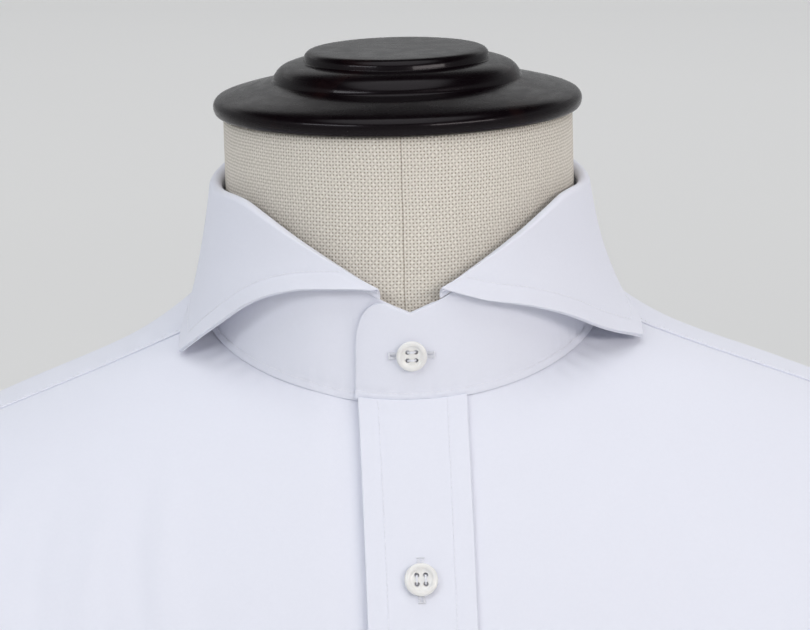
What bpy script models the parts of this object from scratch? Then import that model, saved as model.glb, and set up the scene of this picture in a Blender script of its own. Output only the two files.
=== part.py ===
"""A white shirt with a cutaway collar, worn by a limbless dress form on a round stand.

Metres, +Z up. The origin is under the middle of the stand's base. The wearer faces -Y, so
the wearer's left is +X. Heights in the garment's tables are measured from the middle of the
neckline, which lies NECK_HEIGHT above the floor.
"""
import math
from collections import namedtuple

import bmesh
import bpy
from mathutils import Vector

# Driving dimensions
NECK_HEIGHT = 0.955
BODY_SHIFT = 0.0075
CLOTH = 0.0012
SEAM_GAP = 0.0003
LAYER_GAP = 0.0004

PLACKET_WIDTH = 0.036
OVERLAP = PLACKET_WIDTH / 2
PLACKET_STITCH = 0.0113
# The columns of the fronts' overlap and of the placket, by distance from the centre line
OVERLAP_COLUMNS = [-OVERLAP, -PLACKET_STITCH, 0.0, PLACKET_STITCH, OVERLAP]
# How far an under layer dips where another piece laps over it
UNDER = -(CLOTH + LAYER_GAP)
YOKE_SEAM_AHEAD = 0.0105
YOKE_SEAM_HEIGHT = -0.100
FRONT_BUTTONS = 6
FRONT_BUTTON_TOP = -0.080
FRONT_BUTTON_PITCH = 0.092

NECK_RADIUS = 0.0606
NECK_TOP = 0.0640

BASE_RADIUS = 0.155
BASE_HEIGHT = 0.022
POLE_RADIUS = 0.017
FORM_BOTTOM = -0.680

# Rings of the shirt's body, from the neckline to the hem. Front and back are depths from the
# neck's axis. Tilt leans a ring forward, and square is 2 for an ellipse or more for a boxier ring.
Ring = namedtuple("Ring", "half_width front back z_front z_side z_back tilt square")
BODY_RINGS = [
    Ring(0.0690, 0.0650, 0.0725, -0.0255, -0.0030, 0.0150, -0.0200, 2.00),
    Ring(0.1000, 0.0810, 0.0880, -0.0520, -0.0184, -0.0100, -0.0030, 2.00),
    Ring(0.1420, 0.0980, 0.1020, -0.0870, -0.0348, -0.0420, -0.0020, 2.10),
    Ring(0.1820, 0.1110, 0.1110, -0.1270, -0.0508, -0.0800, -0.0010, 2.20),
    Ring(0.2160, 0.1190, 0.1160, -0.1650, -0.0655, -0.1150, 0.0, 2.30),
    Ring(0.2200, 0.1250, 0.1180, -0.2050, -0.1350, -0.1650, 0.0, 2.35),
    Ring(0.2080, 0.1290, 0.1170, -0.2500, -0.2150, -0.2250, 0.0, 2.30),
    Ring(0.1960, 0.1290, 0.1150, -0.3000, -0.2900, -0.2900, 0.0, 2.25),
    Ring(0.1860, 0.1230, 0.1080, -0.4400, -0.4400, -0.4400, 0.0, 2.20),
    Ring(0.1880, 0.1220, 0.1100, -0.6000, -0.5900, -0.6000, 0.0, 2.20),
    Ring(0.1930, 0.1240, 0.1140, -0.7850, -0.7050, -0.8050, 0.0, 2.20),
]
SHOULDER_TIP = 4.0
ARMPIT = 7.0
HEM = 10.0
FLATTEN = 2.8

# Clearance from the cloth to the form at each ring down to the armpit
FORM_GAPS = [0.0036, 0.0042, 0.0052, 0.0064, 0.0080, 0.0095, 0.0100, 0.0110]
# The form's rows under the cloth, by ring number, and its neck's rows above it
FORM_NUMBERS = [0.4, 1.0, 1.5, 2.0, 2.6, 3.2, 3.7, 4.1, 4.5, 5.0, 5.6, 6.3, 7.0]
NECK_ROWS = [(NECK_TOP - SEAM_GAP, NECK_RADIUS), (0.040, NECK_RADIUS), (0.020, NECK_RADIUS + 0.0002)]
FORM_SQUARE = 2.2
# The form below the armpit, where the cloth hangs free of it
FormRing = namedtuple("FormRing", "half_width front back z")
FORM_RINGS = [
    FormRing(0.1700, 0.1090, 0.0960, -0.360),
    FormRing(0.1580, 0.1000, 0.0890, -0.430),
    FormRing(0.1600, 0.0990, 0.0930, -0.520),
    FormRing(0.1660, 0.1000, 0.0980, -0.610),
    FormRing(0.1650, 0.0990, 0.0970, FORM_BOTTOM + 0.006),
    FormRing(0.1600, 0.0940, 0.0920, FORM_BOTTOM),
]

# The armhole, an ellipse in ring number and angle about the middle of the side
ARMHOLE_MIDDLE = (SHOULDER_TIP + ARMPIT) / 2
ARMHOLE_HALF = (ARMPIT - SHOULDER_TIP) / 2
ARMHOLE_FRONT = 33.0
ARMHOLE_BACK = 28.0

# Soft folds of the hanging cloth: angle round the body, rings where each starts and ends,
# half-width in degrees and depth, outward when positive
Fold = namedtuple("Fold", "angle top bottom half_width depth")
BODY_FOLDS = [
    Fold(38, 7.2, 11.5, 13, 0.0060),
    Fold(62, 7.4, 11.5, 11, -0.0050),
    Fold(-34, 7.3, 11.5, 14, 0.0052),
    Fold(-60, 7.1, 11.5, 12, -0.0055),
    Fold(128, 6.6, 11.5, 12, 0.0070),
    Fold(152, 6.9, 11.5, 11, -0.0060),
    Fold(-131, 6.7, 11.5, 13, 0.0064),
    Fold(-156, 6.4, 11.5, 12, -0.0064),
    Fold(178, 6.2, 11.5, 12, 0.0060),
]

# The collar's fold line: angle round the neck, radius and height
FoldLine = namedtuple("FoldLine", "angle radius z")
FOLD_LINE = [
    FoldLine(0, 0.0668, 0.0085),
    FoldLine(9, 0.0668, 0.0130),
    FoldLine(20, 0.0668, 0.0206),
    FoldLine(33, 0.0668, 0.0290),
    FoldLine(46, 0.0665, 0.0364),
    FoldLine(57, 0.0657, 0.0402),
    FoldLine(78, 0.0643, 0.0404),
    FoldLine(105, 0.0640, 0.0424),
    FoldLine(140, 0.0647, 0.0490),
    FoldLine(180, 0.0652, 0.0545),
]
LEAF_START = 9.0
# The fold's roll: its half-width, its height, and how far its inner leg reaches down
ROLL_HALF = 0.0022
ROLL_HEIGHT = 0.0022
ROLL_DROP = 0.0034
# Where the roll starts, in the leaf's own measure from -1 at the inner leg's foot
ROLL_START = -0.8
# The neckline's radius at the front, along the stand's foot and half-way up it
NECKLINE_RADIUS = 0.065
STAND_RADIUS = 0.066
# The stand's rounded ends: how long they are, and their height at the very end
STAND_ROUNDING = 0.012
STAND_END_HEIGHT = 0.45
# How much higher the fold sits on the wearer's right side than midway
COLLAR_LEAN = 0.0007

# The leaf's outer edge, from the centre back to the tip. Shift moves it towards the wearer's left.
Edge = namedtuple("Edge", "share angle radius z shift")
LEAF_EDGE = [
    Edge(0.00, 180.0, 0.0820, 0.0085, 0.0),
    Edge(0.22, 148.0, 0.0800, 0.0080, 0.0),
    Edge(0.44, 118.0, 0.0768, 0.0045, 0.0),
    Edge(0.62, 99.0, 0.0754, -0.0015, 0.0007),
    Edge(0.74, 90.0, 0.0772, -0.0050, 0.0014),
    Edge(0.88, 80.0, 0.0807, -0.0080, 0.0019),
    Edge(1.00, 71.5, 0.0843, -0.0130, 0.0016),
]
# How far the leaf stands out half-way down, from the back to the front edge
Bulge = namedtuple("Bulge", "share out down")
LEAF_BULGE = [
    Bulge(0.00, 0.0006, 0.50),
    Bulge(0.60, 0.0008, 0.50),
    Bulge(0.85, 0.0048, 0.46),
    Bulge(1.00, 0.0105, 0.42),
]
# How soon the leaf reaches its outer edge's radius
BULGE_SPREAD = 0.55
# How far each front edge lifts above that curve, from the fold down to the tip
Lift = namedtuple("Lift", "down left right")
LEAF_LIFTS = [
    Lift(0.0, 0.0028, 0.0028),
    Lift(0.2, 0.0022, 0.0074),
    Lift(0.4, 0.0035, 0.0110),
    Lift(0.6, 0.0030, 0.0110),
    Lift(0.8, 0.0005, 0.0060),
    Lift(1.0, 0.0, 0.0),
]
# The share of the leaf, from the centre back, where those lifts begin
LIFT_START = 0.5

# The sleeve below the armpit: height, middle, and half-sizes across and front to back
Tube = namedtuple("Tube", "z x y half_thick half_depth")
SLEEVE_RINGS = [
    Tube(-0.345, 0.2330, 0.0000, 0.0215, 0.0860),
    Tube(-0.430, 0.2320, -0.0020, 0.0205, 0.0800),
    Tube(-0.510, 0.2310, -0.0060, 0.0200, 0.0750),
    Tube(-0.590, 0.2310, -0.0120, 0.0195, 0.0690),
    Tube(-0.640, 0.2310, -0.0160, 0.0190, 0.0640),
    Tube(-0.656, 0.2310, -0.0175, 0.0184, 0.0592),
    Tube(-0.660, 0.2310, -0.0175, 0.0184, 0.0590),
]
# The way the sleeve sets out from the armhole, at its underarm and at the shoulder's tip
SLEEVE_LEAVES_SIDE = Vector((1.0, 0.0, -0.42))
SLEEVE_LEAVES_TOP = Vector((0.76, 0.0, -0.65))
CUFF_HEIGHT = 0.063
# Where the cuff's free edge lies round the sleeve, and how many degrees it laps
CUFF_EDGE = -54.0
CUFF_LAP = 28.0
# Bends of the empty sleeve: height, angle round the sleeve, half-height, half-width and depth
Bend = namedtuple("Bend", "z angle half_height half_width depth")
SLEEVE_BENDS = [
    Bend(-0.505, 35, 0.020, 70, -0.0045),
    Bend(-0.545, -30, 0.018, 75, -0.0040),
    Bend(-0.460, -20, 0.022, 60, -0.0030),
    Bend(-0.390, 30, 0.024, 60, -0.0030),
    Bend(-0.610, 20, 0.014, 60, -0.0030),
]

# Turned profiles, from the top down: radius and height above the piece's underside
Turned = namedtuple("Turned", "radius z")
CAP_PROFILE = [
    Turned(0.0000, 0.0218),
    Turned(0.0280, 0.0218),
    Turned(0.0302, 0.0212),
    Turned(0.0318, 0.0198),
    Turned(0.0322, 0.0180),
    Turned(0.0355, 0.0176),
    Turned(0.0400, 0.0158),
    Turned(0.0426, 0.0132),
    Turned(0.0434, 0.0112),
    Turned(0.0520, 0.0092),
    Turned(0.0615, 0.0064),
    Turned(0.0638, 0.0042),
    Turned(0.0636, 0.0016),
    Turned(0.0622, 0.0000),
]
BASE_PROFILE = [
    Turned(0.0240, BASE_HEIGHT),
    Turned(0.0400, 0.0200),
    Turned(0.0900, 0.0165),
    Turned(0.1380, 0.0128),
    Turned(0.1500, 0.0102),
    Turned(BASE_RADIUS, 0.0055),
    Turned(0.1535, 0.0000),
]
BUTTON_RADIUS = 0.0056
COLLAR_BUTTON_RADIUS = 0.0052
BUTTON_THICK = 0.0022
BUTTON_BEVEL = 0.0005
# Where the collar's button is, up the stand, and the cuff's one, across its lap
COLLAR_BUTTON_AT = 0.52
CUFF_BUTTON_AT = 0.45
# The plate under the form
PLATE_HEIGHT = 0.0080
PLATE_PROFILE = [
    Turned(0.0550, PLATE_HEIGHT),
    Turned(0.0560, 0.0070),
    Turned(0.0560, 0.0010),
    Turned(0.0550, 0.0),
]

COTTON = ("white_cotton", (0.80, 0.80, 0.84), 0.85)
LINEN = ("oat_linen", (0.60, 0.55, 0.45), 0.95)
LACQUER = ("black_lacquer", (0.012, 0.010, 0.011), 0.25)
STEEL = ("black_steel", (0.020, 0.020, 0.022), 0.35)
PEARL = ("white_button", (0.82, 0.81, 0.78), 0.30)


def smooth(t):
    """Ease from 0 to 1."""
    t = min(1.0, max(0.0, t))
    return t * t * (3 - 2 * t)


def blend(table, key, value):
    """A table's row at a value of its key column, on a smooth curve through the rows."""
    keys = [getattr(row, key) for row in table]
    ordered = table if keys[0] < keys[-1] else table[::-1]
    keys = sorted(keys)
    value = min(keys[-1], max(keys[0], value))
    i = max(j for j in range(len(keys) - 1) if keys[j] <= value)
    step = keys[i + 1] - keys[i]
    t = (value - keys[i]) / step
    columns = []
    for k in range(len(ordered[0])):
        here = ordered[i][k]
        there = ordered[i + 1][k]
        before = ordered[max(i - 1, 0)][k]
        after = ordered[min(i + 2, len(keys) - 1)][k]
        wide_before = keys[i + 1] - keys[max(i - 1, 0)]
        wide_after = keys[min(i + 2, len(keys) - 1)] - keys[i]
        slope_here = (there - before) / wide_before * step
        slope_there = (after - here) / wide_after * step
        columns.append(
            here * (1 + 2 * t) * (1 - t) ** 2
            + slope_here * t * (1 - t) ** 2
            + there * t * t * (3 - 2 * t)
            - slope_there * t * t * (1 - t)
        )
    return type(ordered[0])(*columns)


def ring_at(number):
    """The body's ring at a ring number between two rows."""
    Numbered = namedtuple("Numbered", ("number",) + Ring._fields)
    rows = [Numbered(i, *row) for i, row in enumerate(BODY_RINGS)]
    return blend(rows, "number", number)


def fold_depth(angle, number):
    """How far the hanging cloth's folds move it outward."""
    total = 0.0
    for fold in BODY_FOLDS:
        away = abs((angle - fold.angle + 180) % 360 - 180) / fold.half_width
        if away < 1 and number > fold.top:
            reach = smooth((number - fold.top) / (fold.bottom - fold.top) * 1.6)
            total += fold.depth * reach * math.cos(away * math.pi / 2) ** 2
    return total


def body_base(angle, number):
    """A point of the body's plain surface, with no folds and no offset."""
    ring = ring_at(number)
    turn = math.radians(angle)
    sine, cosine = math.sin(turn), math.cos(turn)
    power = 2 / ring.square
    depth = ring.front if cosine > 0 else ring.back
    far = ring.z_front if cosine > 0 else ring.z_back
    lean = ring.tilt if cosine > 0 else -ring.tilt
    x = ring.half_width * math.copysign(abs(sine) ** power, sine)
    y = -depth * math.copysign(abs(cosine) ** power, cosine)
    z = ring.z_side + ring.tilt * cosine + (far - ring.z_side - lean) * abs(cosine) ** FLATTEN
    return Vector((x, y + BODY_SHIFT, z + NECK_HEIGHT))


def body_normal(angle, number):
    """The outward direction of the body's surface."""
    step = 0.05
    along = body_base(angle, min(number + step, HEM)) - body_base(angle, max(number - step, 0.0))
    across = body_base(angle + 1, number) - body_base(angle - 1, number)
    return across.cross(along).normalized() * -1


def body(angle, number, out=0.0):
    """A point of the shirt's body: angle from the front towards the wearer's left, and ring."""
    lift = out + fold_depth(angle, number)
    return body_base(angle, number) + body_normal(angle, number) * lift


def angle_at_x(x, number):
    """The angle where the front lies a given distance from the centre line."""
    ring = ring_at(number)
    share = min(1.0, abs(x) / ring.half_width)
    return math.copysign(math.degrees(math.asin(share ** (ring.square / 2))), x)


def yoke_front_angle(number):
    """The angle of the yoke's front seam, a set distance ahead of the shoulder line."""
    ring = ring_at(number)
    return math.degrees(math.acos((YOKE_SEAM_AHEAD / ring.front) ** (ring.square / 2)))


def armhole(turn):
    """Angle and ring number on the armhole, from 0 at the shoulder tip, forward to 180."""
    spread = ARMHOLE_FRONT if turn > 0 else ARMHOLE_BACK
    return (90 - spread * math.sin(math.radians(turn)),
            ARMHOLE_MIDDLE - ARMHOLE_HALF * math.cos(math.radians(turn)))


def solve(function, low, high):
    """Where a function crosses zero, by halving."""
    rising = function(high) > function(low)
    for _ in range(40):
        middle = (low + high) / 2
        if (function(middle) > 0) == rising:
            high = middle
        else:
            low = middle
    return (low + high) / 2


def yoke_seam_number(angle):
    """The ring number where the back's seam with the yoke crosses an angle."""
    level = NECK_HEIGHT + YOKE_SEAM_HEIGHT
    return solve(lambda number: body_base(angle, number).z - level, 2.0, 6.5)


def spread(low, high, count):
    """Evenly spaced values, both ends included."""
    return [low + (high - low) * i / (count - 1) for i in range(count)]


# The armhole's corners, shared by the front, yoke, back and sleeve
FRONT_CORNER = solve(lambda turn: armhole(turn)[0] - yoke_front_angle(armhole(turn)[1]), 2.0, 60.0)
BACK_CORNER = solve(lambda turn: armhole(turn)[1] - yoke_seam_number(armhole(turn)[0]), -120.0, -5.0)
FRONT_TURNS = spread(FRONT_CORNER, 180.0, 11)
BACK_TURNS = spread(BACK_CORNER, -180.0, 10)
TOP_TURNS = spread(FRONT_CORNER, BACK_CORNER, 6)
YOKE_ROWS = spread(0.0, 1.0, 8)
SIDE_ROWS = spread(ARMPIT, HEM, 11)
# A narrow facet along each side seam keeps the two walls there in line
SEAM_EDGE_SHARE = 0.97
FRONT_SHARES = [0.22, 0.42, 0.63, 0.83, SEAM_EDGE_SHARE, 1.0]
# Where the right front has come up from under the left one
DIP_SHARE = 0.10
# The angle over which the yoke's columns turn from its front seam to the neck's own angles
YOKE_FADE = 60.0
LEAF_SHARES = spread(0.0, 1.0, 21)
LEAF_DOWNS = [-1.0, -0.79, -0.6, -0.4, -0.2, 0.0, 0.2, 0.45, 0.72, 1.0]


def material(recipe):
    """The recipe's material, made once."""
    name, colour, roughness = recipe
    made = bpy.data.materials.get(name)
    if made is None:
        made = bpy.data.materials.new(name)
        made.use_nodes = True
        shader = made.node_tree.nodes["Principled BSDF"]
        shader.inputs["Base Color"].default_value = (*colour, 1.0)
        shader.inputs["Roughness"].default_value = roughness
        shader.inputs["Metallic"].default_value = 0.0
    return made


def place(name, mesh, recipe):
    """Put a mesh in the object's collection, in its own material."""
    made = bpy.data.objects.new(name, mesh)
    bpy.data.collections["cutaway_shirt"].objects.link(made)
    mesh.materials.append(material(recipe))
    mesh.shade_smooth()
    return made


def grid_mesh(name, rows, closed=False, caps=False):
    """A mesh of quads through rows of points; closed joins each row's ends, caps fills the ends."""
    shape = bmesh.new()
    lines = [[shape.verts.new(point) for point in row] for row in rows]
    count = len(rows[0])
    for upper, lower in zip(lines, lines[1:]):
        for i in range(count if closed else count - 1):
            j = (i + 1) % count
            shape.faces.new((upper[i], lower[i], lower[j], upper[j]))
    if caps:
        shape.faces.new(lines[0])
        shape.faces.new(lines[-1][::-1])
    mesh = bpy.data.meshes.new(name)
    shape.to_mesh(mesh)
    shape.free()
    return mesh


def cloth(name, rows, closed=False):
    """A wall of cloth on a grid of points, thickened away from the side that shows."""
    made = place(name, grid_mesh(name, rows, closed), COTTON)
    wall = made.modifiers.new("wall", "SOLIDIFY")
    wall.thickness = CLOTH
    wall.offset = -1.0
    wall.use_even_offset = False
    return made


def pull_in(rows, sides, gap=SEAM_GAP / 2):
    """Draw the named sides of a grid in by half a seam's gap."""
    if "top" in sides:
        rows[0] = [a + (b - a).normalized() * gap for a, b in zip(rows[0], rows[1])]
    if "bottom" in sides:
        rows[-1] = [a + (b - a).normalized() * gap for a, b in zip(rows[-1], rows[-2])]
    for row in rows:
        if "start" in sides:
            row[0] = row[0] + (row[1] - row[0]).normalized() * gap
        if "end" in sides:
            row[-1] = row[-1] + (row[-2] - row[-1]).normalized() * gap
    return rows


def front_side_path():
    """Angle and ring number down a front's side: yoke seam, armhole, side seam."""
    corner_number = armhole(FRONT_CORNER)[1]
    path = [(yoke_front_angle(share * corner_number), share * corner_number) for share in YOKE_ROWS]
    path += [armhole(turn) for turn in FRONT_TURNS[1:]]
    path += [(90.0, number) for number in SIDE_ROWS[1:]]
    return path


def make_front(name, side):
    """One front. Side is 1 for the wearer's left, which lies on top, or -1 for the right."""
    shares = FRONT_SHARES if side > 0 else [DIP_SHARE] + FRONT_SHARES
    under = 0.0 if side > 0 else UNDER
    rows = []
    for end_angle, number in front_side_path():
        start = angle_at_x(OVERLAP, number)
        row = [body(angle_at_x(x * side, number), number, under) for x in OVERLAP_COLUMNS]
        for share in shares:
            out = under if share == DIP_SHARE else 0.0
            row.append(body((start + (end_angle - start) * share) * side, number, out))
        rows.append(row)
    rows = pull_in(rows, ("top", "end"))
    if side < 0:
        rows = [row[::-1] for row in rows]
    return cloth(name, rows)


def make_placket():
    """The strip down the left front, lying on it."""
    numbers = [number for _, number in front_side_path()]
    out = CLOTH + SEAM_GAP
    rows = [[body(angle_at_x(x, number), number, out) for x in OVERLAP_COLUMNS] for number in numbers]
    return cloth("front_placket", pull_in(rows, ("top",)))


def yoke_columns():
    """Angles across the yoke from one front seam round the back, and each column's last ring."""
    tops = [armhole(turn) for turn in TOP_TURNS]
    corner = tops[-1]
    middle = [(angle, yoke_seam_number(angle)) for angle in spread(corner[0], 180.0, 8)[1:]]
    half = tops + middle
    mirrored = [(360 - angle, number) for angle, number in half[:-1]]
    return half + mirrored[::-1]


def make_yoke():
    """The yoke, from the neckline to the armholes and the back's seam."""
    columns = yoke_columns()
    front_numbers = [share * armhole(FRONT_CORNER)[1] for share in YOKE_ROWS]
    front_angle = columns[0][0]
    rows = []
    for share, number in zip(YOKE_ROWS, front_numbers):
        row = []
        edge_shift = yoke_front_angle(number) - front_angle
        for angle, last in columns:
            from_side = min(angle, 360 - angle)
            fade = 1 - smooth((from_side - front_angle) / YOKE_FADE)
            shift = edge_shift * fade if angle < 180 else -edge_shift * fade
            row.append(body(angle + shift, share * last))
        rows.append(row)
    return cloth("yoke", pull_in(rows, ("top", "bottom", "start", "end")))


def back_columns():
    """Angles of the back's columns at its top seam, with the seam's ring numbers."""
    corner = armhole(BACK_CORNER)[0]
    columns = [column for column in yoke_columns() if corner - 0.01 <= column[0] <= 360.01 - corner]
    beside = corner + (180 - corner) * (1 - SEAM_EDGE_SHARE)
    level = yoke_seam_number(beside)
    return [columns[0], (beside, level)] + columns[1:-1] + [(360 - beside, level), columns[-1]]


def make_back():
    """The back, from the yoke's seam to the tail."""
    columns = back_columns()
    path = [armhole(turn) for turn in BACK_TURNS] + [(90.0, number) for number in SIDE_ROWS[1:]]
    corner_angle, corner_number = path[0]
    rows = []
    for edge_angle, number in path:
        fade = max(0.0, 1 - (number - corner_number) / (ARMPIT - corner_number))
        row = []
        for angle, seam in columns:
            share = (angle - corner_angle) / (360 - 2 * corner_angle)
            at = edge_angle + (360 - 2 * edge_angle) * share
            row.append(body(at, number + (seam - corner_number) * fade))
        rows.append(row)
    return cloth("back", pull_in(rows, ("top", "start", "end")))


def fold_line(angle):
    """Radius and height of the collar's fold at an angle either side of the front."""
    line = blend(FOLD_LINE, "angle", abs((angle + 180) % 360 - 180))
    return line._replace(z=line.z - COLLAR_LEAN * math.sin(math.radians(angle)))


def around_neck(angle, radius, z):
    """A point at an angle, radius and height about the neck."""
    turn = math.radians(angle)
    return Vector((radius * math.sin(turn), BODY_SHIFT - radius * math.cos(turn), z + NECK_HEIGHT))


def leaf_angle(share):
    """The angle round the neck where a share of the leaf meets the fold."""
    return 180 + (LEAF_START - 180) * share


def make_band():
    """The stand: it starts on top at the wearer's right of centre and ends under itself."""
    reach = math.degrees(math.asin(OVERLAP / NECKLINE_RADIUS))
    rows = [[] for _ in range(4)]
    half = [leaf_angle(share) for share in LEAF_SHARES[::-1]]
    turns = [-reach, -LEAF_START - 2, -LEAF_START / 2, 0.0] + half
    turns += [360 - angle for angle in half[-2::-1]] + [360.0, 360 + LEAF_START, 360 + reach]
    for angle in turns:
        from_end = min(angle + reach, 360 + reach - angle)
        run = math.radians(from_end) * STAND_RADIUS
        round_off = 1 - min(1.0, run / STAND_ROUNDING)
        height = STAND_END_HEIGHT + (1 - STAND_END_HEIGHT) * math.sqrt(1 - round_off ** 2)
        hide = UNDER * smooth((angle - 360 + reach + 16) / 14)
        foot = body_base(angle, 0.0)
        foot.z += SEAM_GAP
        line = fold_line(angle)
        top = around_neck(angle, line.radius - ROLL_HALF + CLOTH, line.z - ROLL_DROP - SEAM_GAP)
        outward = around_neck(angle, 1.0, 0.0) - around_neck(angle, 0.0, 0.0)
        for i, row in enumerate(rows):
            rise = (1 - i / 3) * height
            row.append(foot.lerp(top, rise) + outward * hide)
    return cloth("collar_band", rows)


def leaf_point(side, share, down):
    """A point of the leaf. Share is 0 at the centre back and 1 at the front edge. Down is below
    0 over the fold, from the leg that meets the band at -1, and then 0 to 1 to the outer edge."""
    angle = leaf_angle(share)
    line = fold_line(angle * side)
    if down <= ROLL_START:
        return around_neck(angle * side, line.radius - ROLL_HALF, line.z - ROLL_DROP)
    if down <= 0:
        turn = math.pi * (down / ROLL_START)
        lift = ROLL_HEIGHT * (abs(math.sin(turn)) - 1)
        return around_neck(angle * side, line.radius + ROLL_HALF * math.cos(turn), line.z + lift)
    edge = blend(LEAF_EDGE, "share", share)
    bulge = blend(LEAF_BULGE, "share", share)
    start_radius, start_z = line.radius + ROLL_HALF, line.z - ROLL_HEIGHT
    start = around_neck(angle * side, start_radius, start_z)
    end = around_neck(edge.angle * side, edge.radius, edge.z) + Vector((edge.shift, 0.0, 0.0))
    middle_angle = angle + (edge.angle - angle) * bulge.down
    middle_radius = start_radius + (edge.radius - start_radius) * bulge.down * BULGE_SPREAD + bulge.out
    middle_z = start_z + (edge.z - start_z) * bulge.down
    middle = around_neck(middle_angle * side, middle_radius, middle_z)
    lifts = blend(LEAF_LIFTS, "down", down)
    lift = lifts.left if side > 0 else lifts.right
    rise = Vector((0.0, 0.0, lift * max(0.0, (share - LIFT_START) / (1 - LIFT_START)) ** 2))
    return start * (1 - down) ** 2 + middle * 2 * down * (1 - down) + end * down ** 2 + rise


def make_leaf():
    """The cutaway leaf: one piece, folded over the band all round."""
    columns = [(1, share) for share in LEAF_SHARES[::-1]] + [(-1, share) for share in LEAF_SHARES[1:]]
    rows = [[leaf_point(side, share, down) for side, share in columns] for down in LEAF_DOWNS]
    return cloth("collar_leaf", rows)


def sleeve_ring(z):
    """The sleeve's flattened section at a height."""
    return blend(SLEEVE_RINGS, "z", z)


def sleeve_hanging(turn, z, out=0.0):
    """A point of the hanging sleeve: turn is 0 on the outer face and 90 at the front."""
    ring = sleeve_ring(z)
    dent = 0.0
    for bend in SLEEVE_BENDS:
        away = abs((turn - bend.angle + 180) % 360 - 180) / bend.half_width
        far = abs(z - bend.z) / bend.half_height
        if away < 1 and far < 1:
            dent += bend.depth * math.cos(away * math.pi / 2) ** 2 * math.cos(far * math.pi / 2) ** 2
    angle = math.radians(turn)
    x = ring.x + (ring.half_thick + dent + out) * math.cos(angle)
    y = ring.y - (ring.half_depth + out) * math.sin(angle)
    return Vector((x, y + BODY_SHIFT, z + NECK_HEIGHT))


def sleeve_levels():
    """Heights of the sleeve's rows below the armpit, down to the cuff."""
    return spread(SLEEVE_RINGS[0].z, SLEEVE_RINGS[-2].z, 14)[1:] + [SLEEVE_RINGS[-1].z]


def sleeve_grid():
    """Rows of points of the wearer's left sleeve, from the armhole down."""
    turns = TOP_TURNS + FRONT_TURNS + BACK_TURNS[:-1]
    turns = sorted(set(round(turn, 6) for turn in turns), reverse=True)
    rows = []
    armpit_level = SLEEVE_RINGS[0].z
    for share in (0.0, 0.12, 0.3, 0.52, 0.76, 1.0):
        row = []
        for turn in turns:
            angle, number = armhole(turn)
            start = body_base(angle, number)
            landing = sleeve_hanging(turn, armpit_level)
            top = 0.5 + 0.5 * math.cos(math.radians(turn))
            away = SLEEVE_LEAVES_SIDE.lerp(SLEEVE_LEAVES_TOP, top ** 2).normalized()
            length = (landing - start).length
            leave = start + away * length * (0.16 + 0.12 * top)
            arrive = landing + Vector((0.0, 0.0, length * 0.48))
            row.append(start * (1 - share) ** 3 + leave * 3 * share * (1 - share) ** 2
                       + arrive * 3 * share ** 2 * (1 - share) + landing * share ** 3)
        rows.append(row)
    rows[0] = [a + (b - a).normalized() * SEAM_GAP for a, b in zip(rows[0], rows[1])]
    rows += [[sleeve_hanging(turn, z) for turn in turns] for z in sleeve_levels()]
    return rows


def mirror_x(rows):
    """The same grid on the other side, with its faces turned the right way."""
    return [[Vector((-point.x, point.y, point.z)) for point in row[::-1]] for row in rows]


def cuff_point(turn, level, out=0.0):
    """A point of the wearer's left cuff at a turn round it and a level above the floor."""
    ring = SLEEVE_RINGS[-1]
    angle = math.radians(turn)
    x = ring.x + (ring.half_thick + out) * math.cos(angle)
    y = ring.y - (ring.half_depth + out) * math.sin(angle)
    return Vector((x, y + BODY_SHIFT, level))


def cuff_grid():
    """Rows of the wearer's left cuff, which laps over itself on its outer face."""
    top = SLEEVE_RINGS[-1].z - SEAM_GAP + NECK_HEIGHT
    rows = []
    for level in spread(top, top - CUFF_HEIGHT, 3):
        row = []
        for turn in spread(CUFF_EDGE + 360 + CUFF_LAP, CUFF_EDGE, 27):
            over = -UNDER * (1 - smooth((turn - CUFF_EDGE - CUFF_LAP) / 30))
            row.append(cuff_point(turn, level, over))
        rows.append(row)
    return rows


def sleeve_placket_grid():
    """The strip over the sleeve's opening, above the cuff's lap."""
    rows = []
    for z in sleeve_levels()[-6:-1]:
        rows.append([sleeve_hanging(turn, z, CLOTH + SEAM_GAP) for turn in TOP_TURNS[3:]])
    return rows


def make_sleeves():
    """Both sleeves with their plackets and cuffs."""
    for name, flip in (("left", False), ("right", True)):
        for piece, rows, closed in (
            ("sleeve", sleeve_grid(), True),
            ("sleeve_placket", sleeve_placket_grid(), False),
            ("cuff", cuff_grid(), False),
        ):
            if flip:
                rows = mirror_x(rows)
            cloth(piece + "_" + name, rows, closed)


def button(name, centre, facing, radius=BUTTON_RADIUS):
    """A four-hole button's disc with a rounded rim, lying on the cloth at its centre."""
    bpy.ops.mesh.primitive_cylinder_add(vertices=12, radius=radius, depth=BUTTON_THICK)
    made = bpy.context.active_object
    made.name = name
    made.data.materials.append(material(PEARL))
    rim = made.modifiers.new("rim", "BEVEL")
    rim.width = BUTTON_BEVEL
    rim.segments = 1
    made.location = centre + facing * (BUTTON_THICK / 2 + SEAM_GAP)
    made.rotation_mode = "QUATERNION"
    made.rotation_quaternion = facing.to_track_quat("Z", "Y")
    collection = bpy.data.collections["cutaway_shirt"]
    for other in list(made.users_collection):
        other.objects.unlink(made)
    collection.objects.link(made)
    return made


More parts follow.
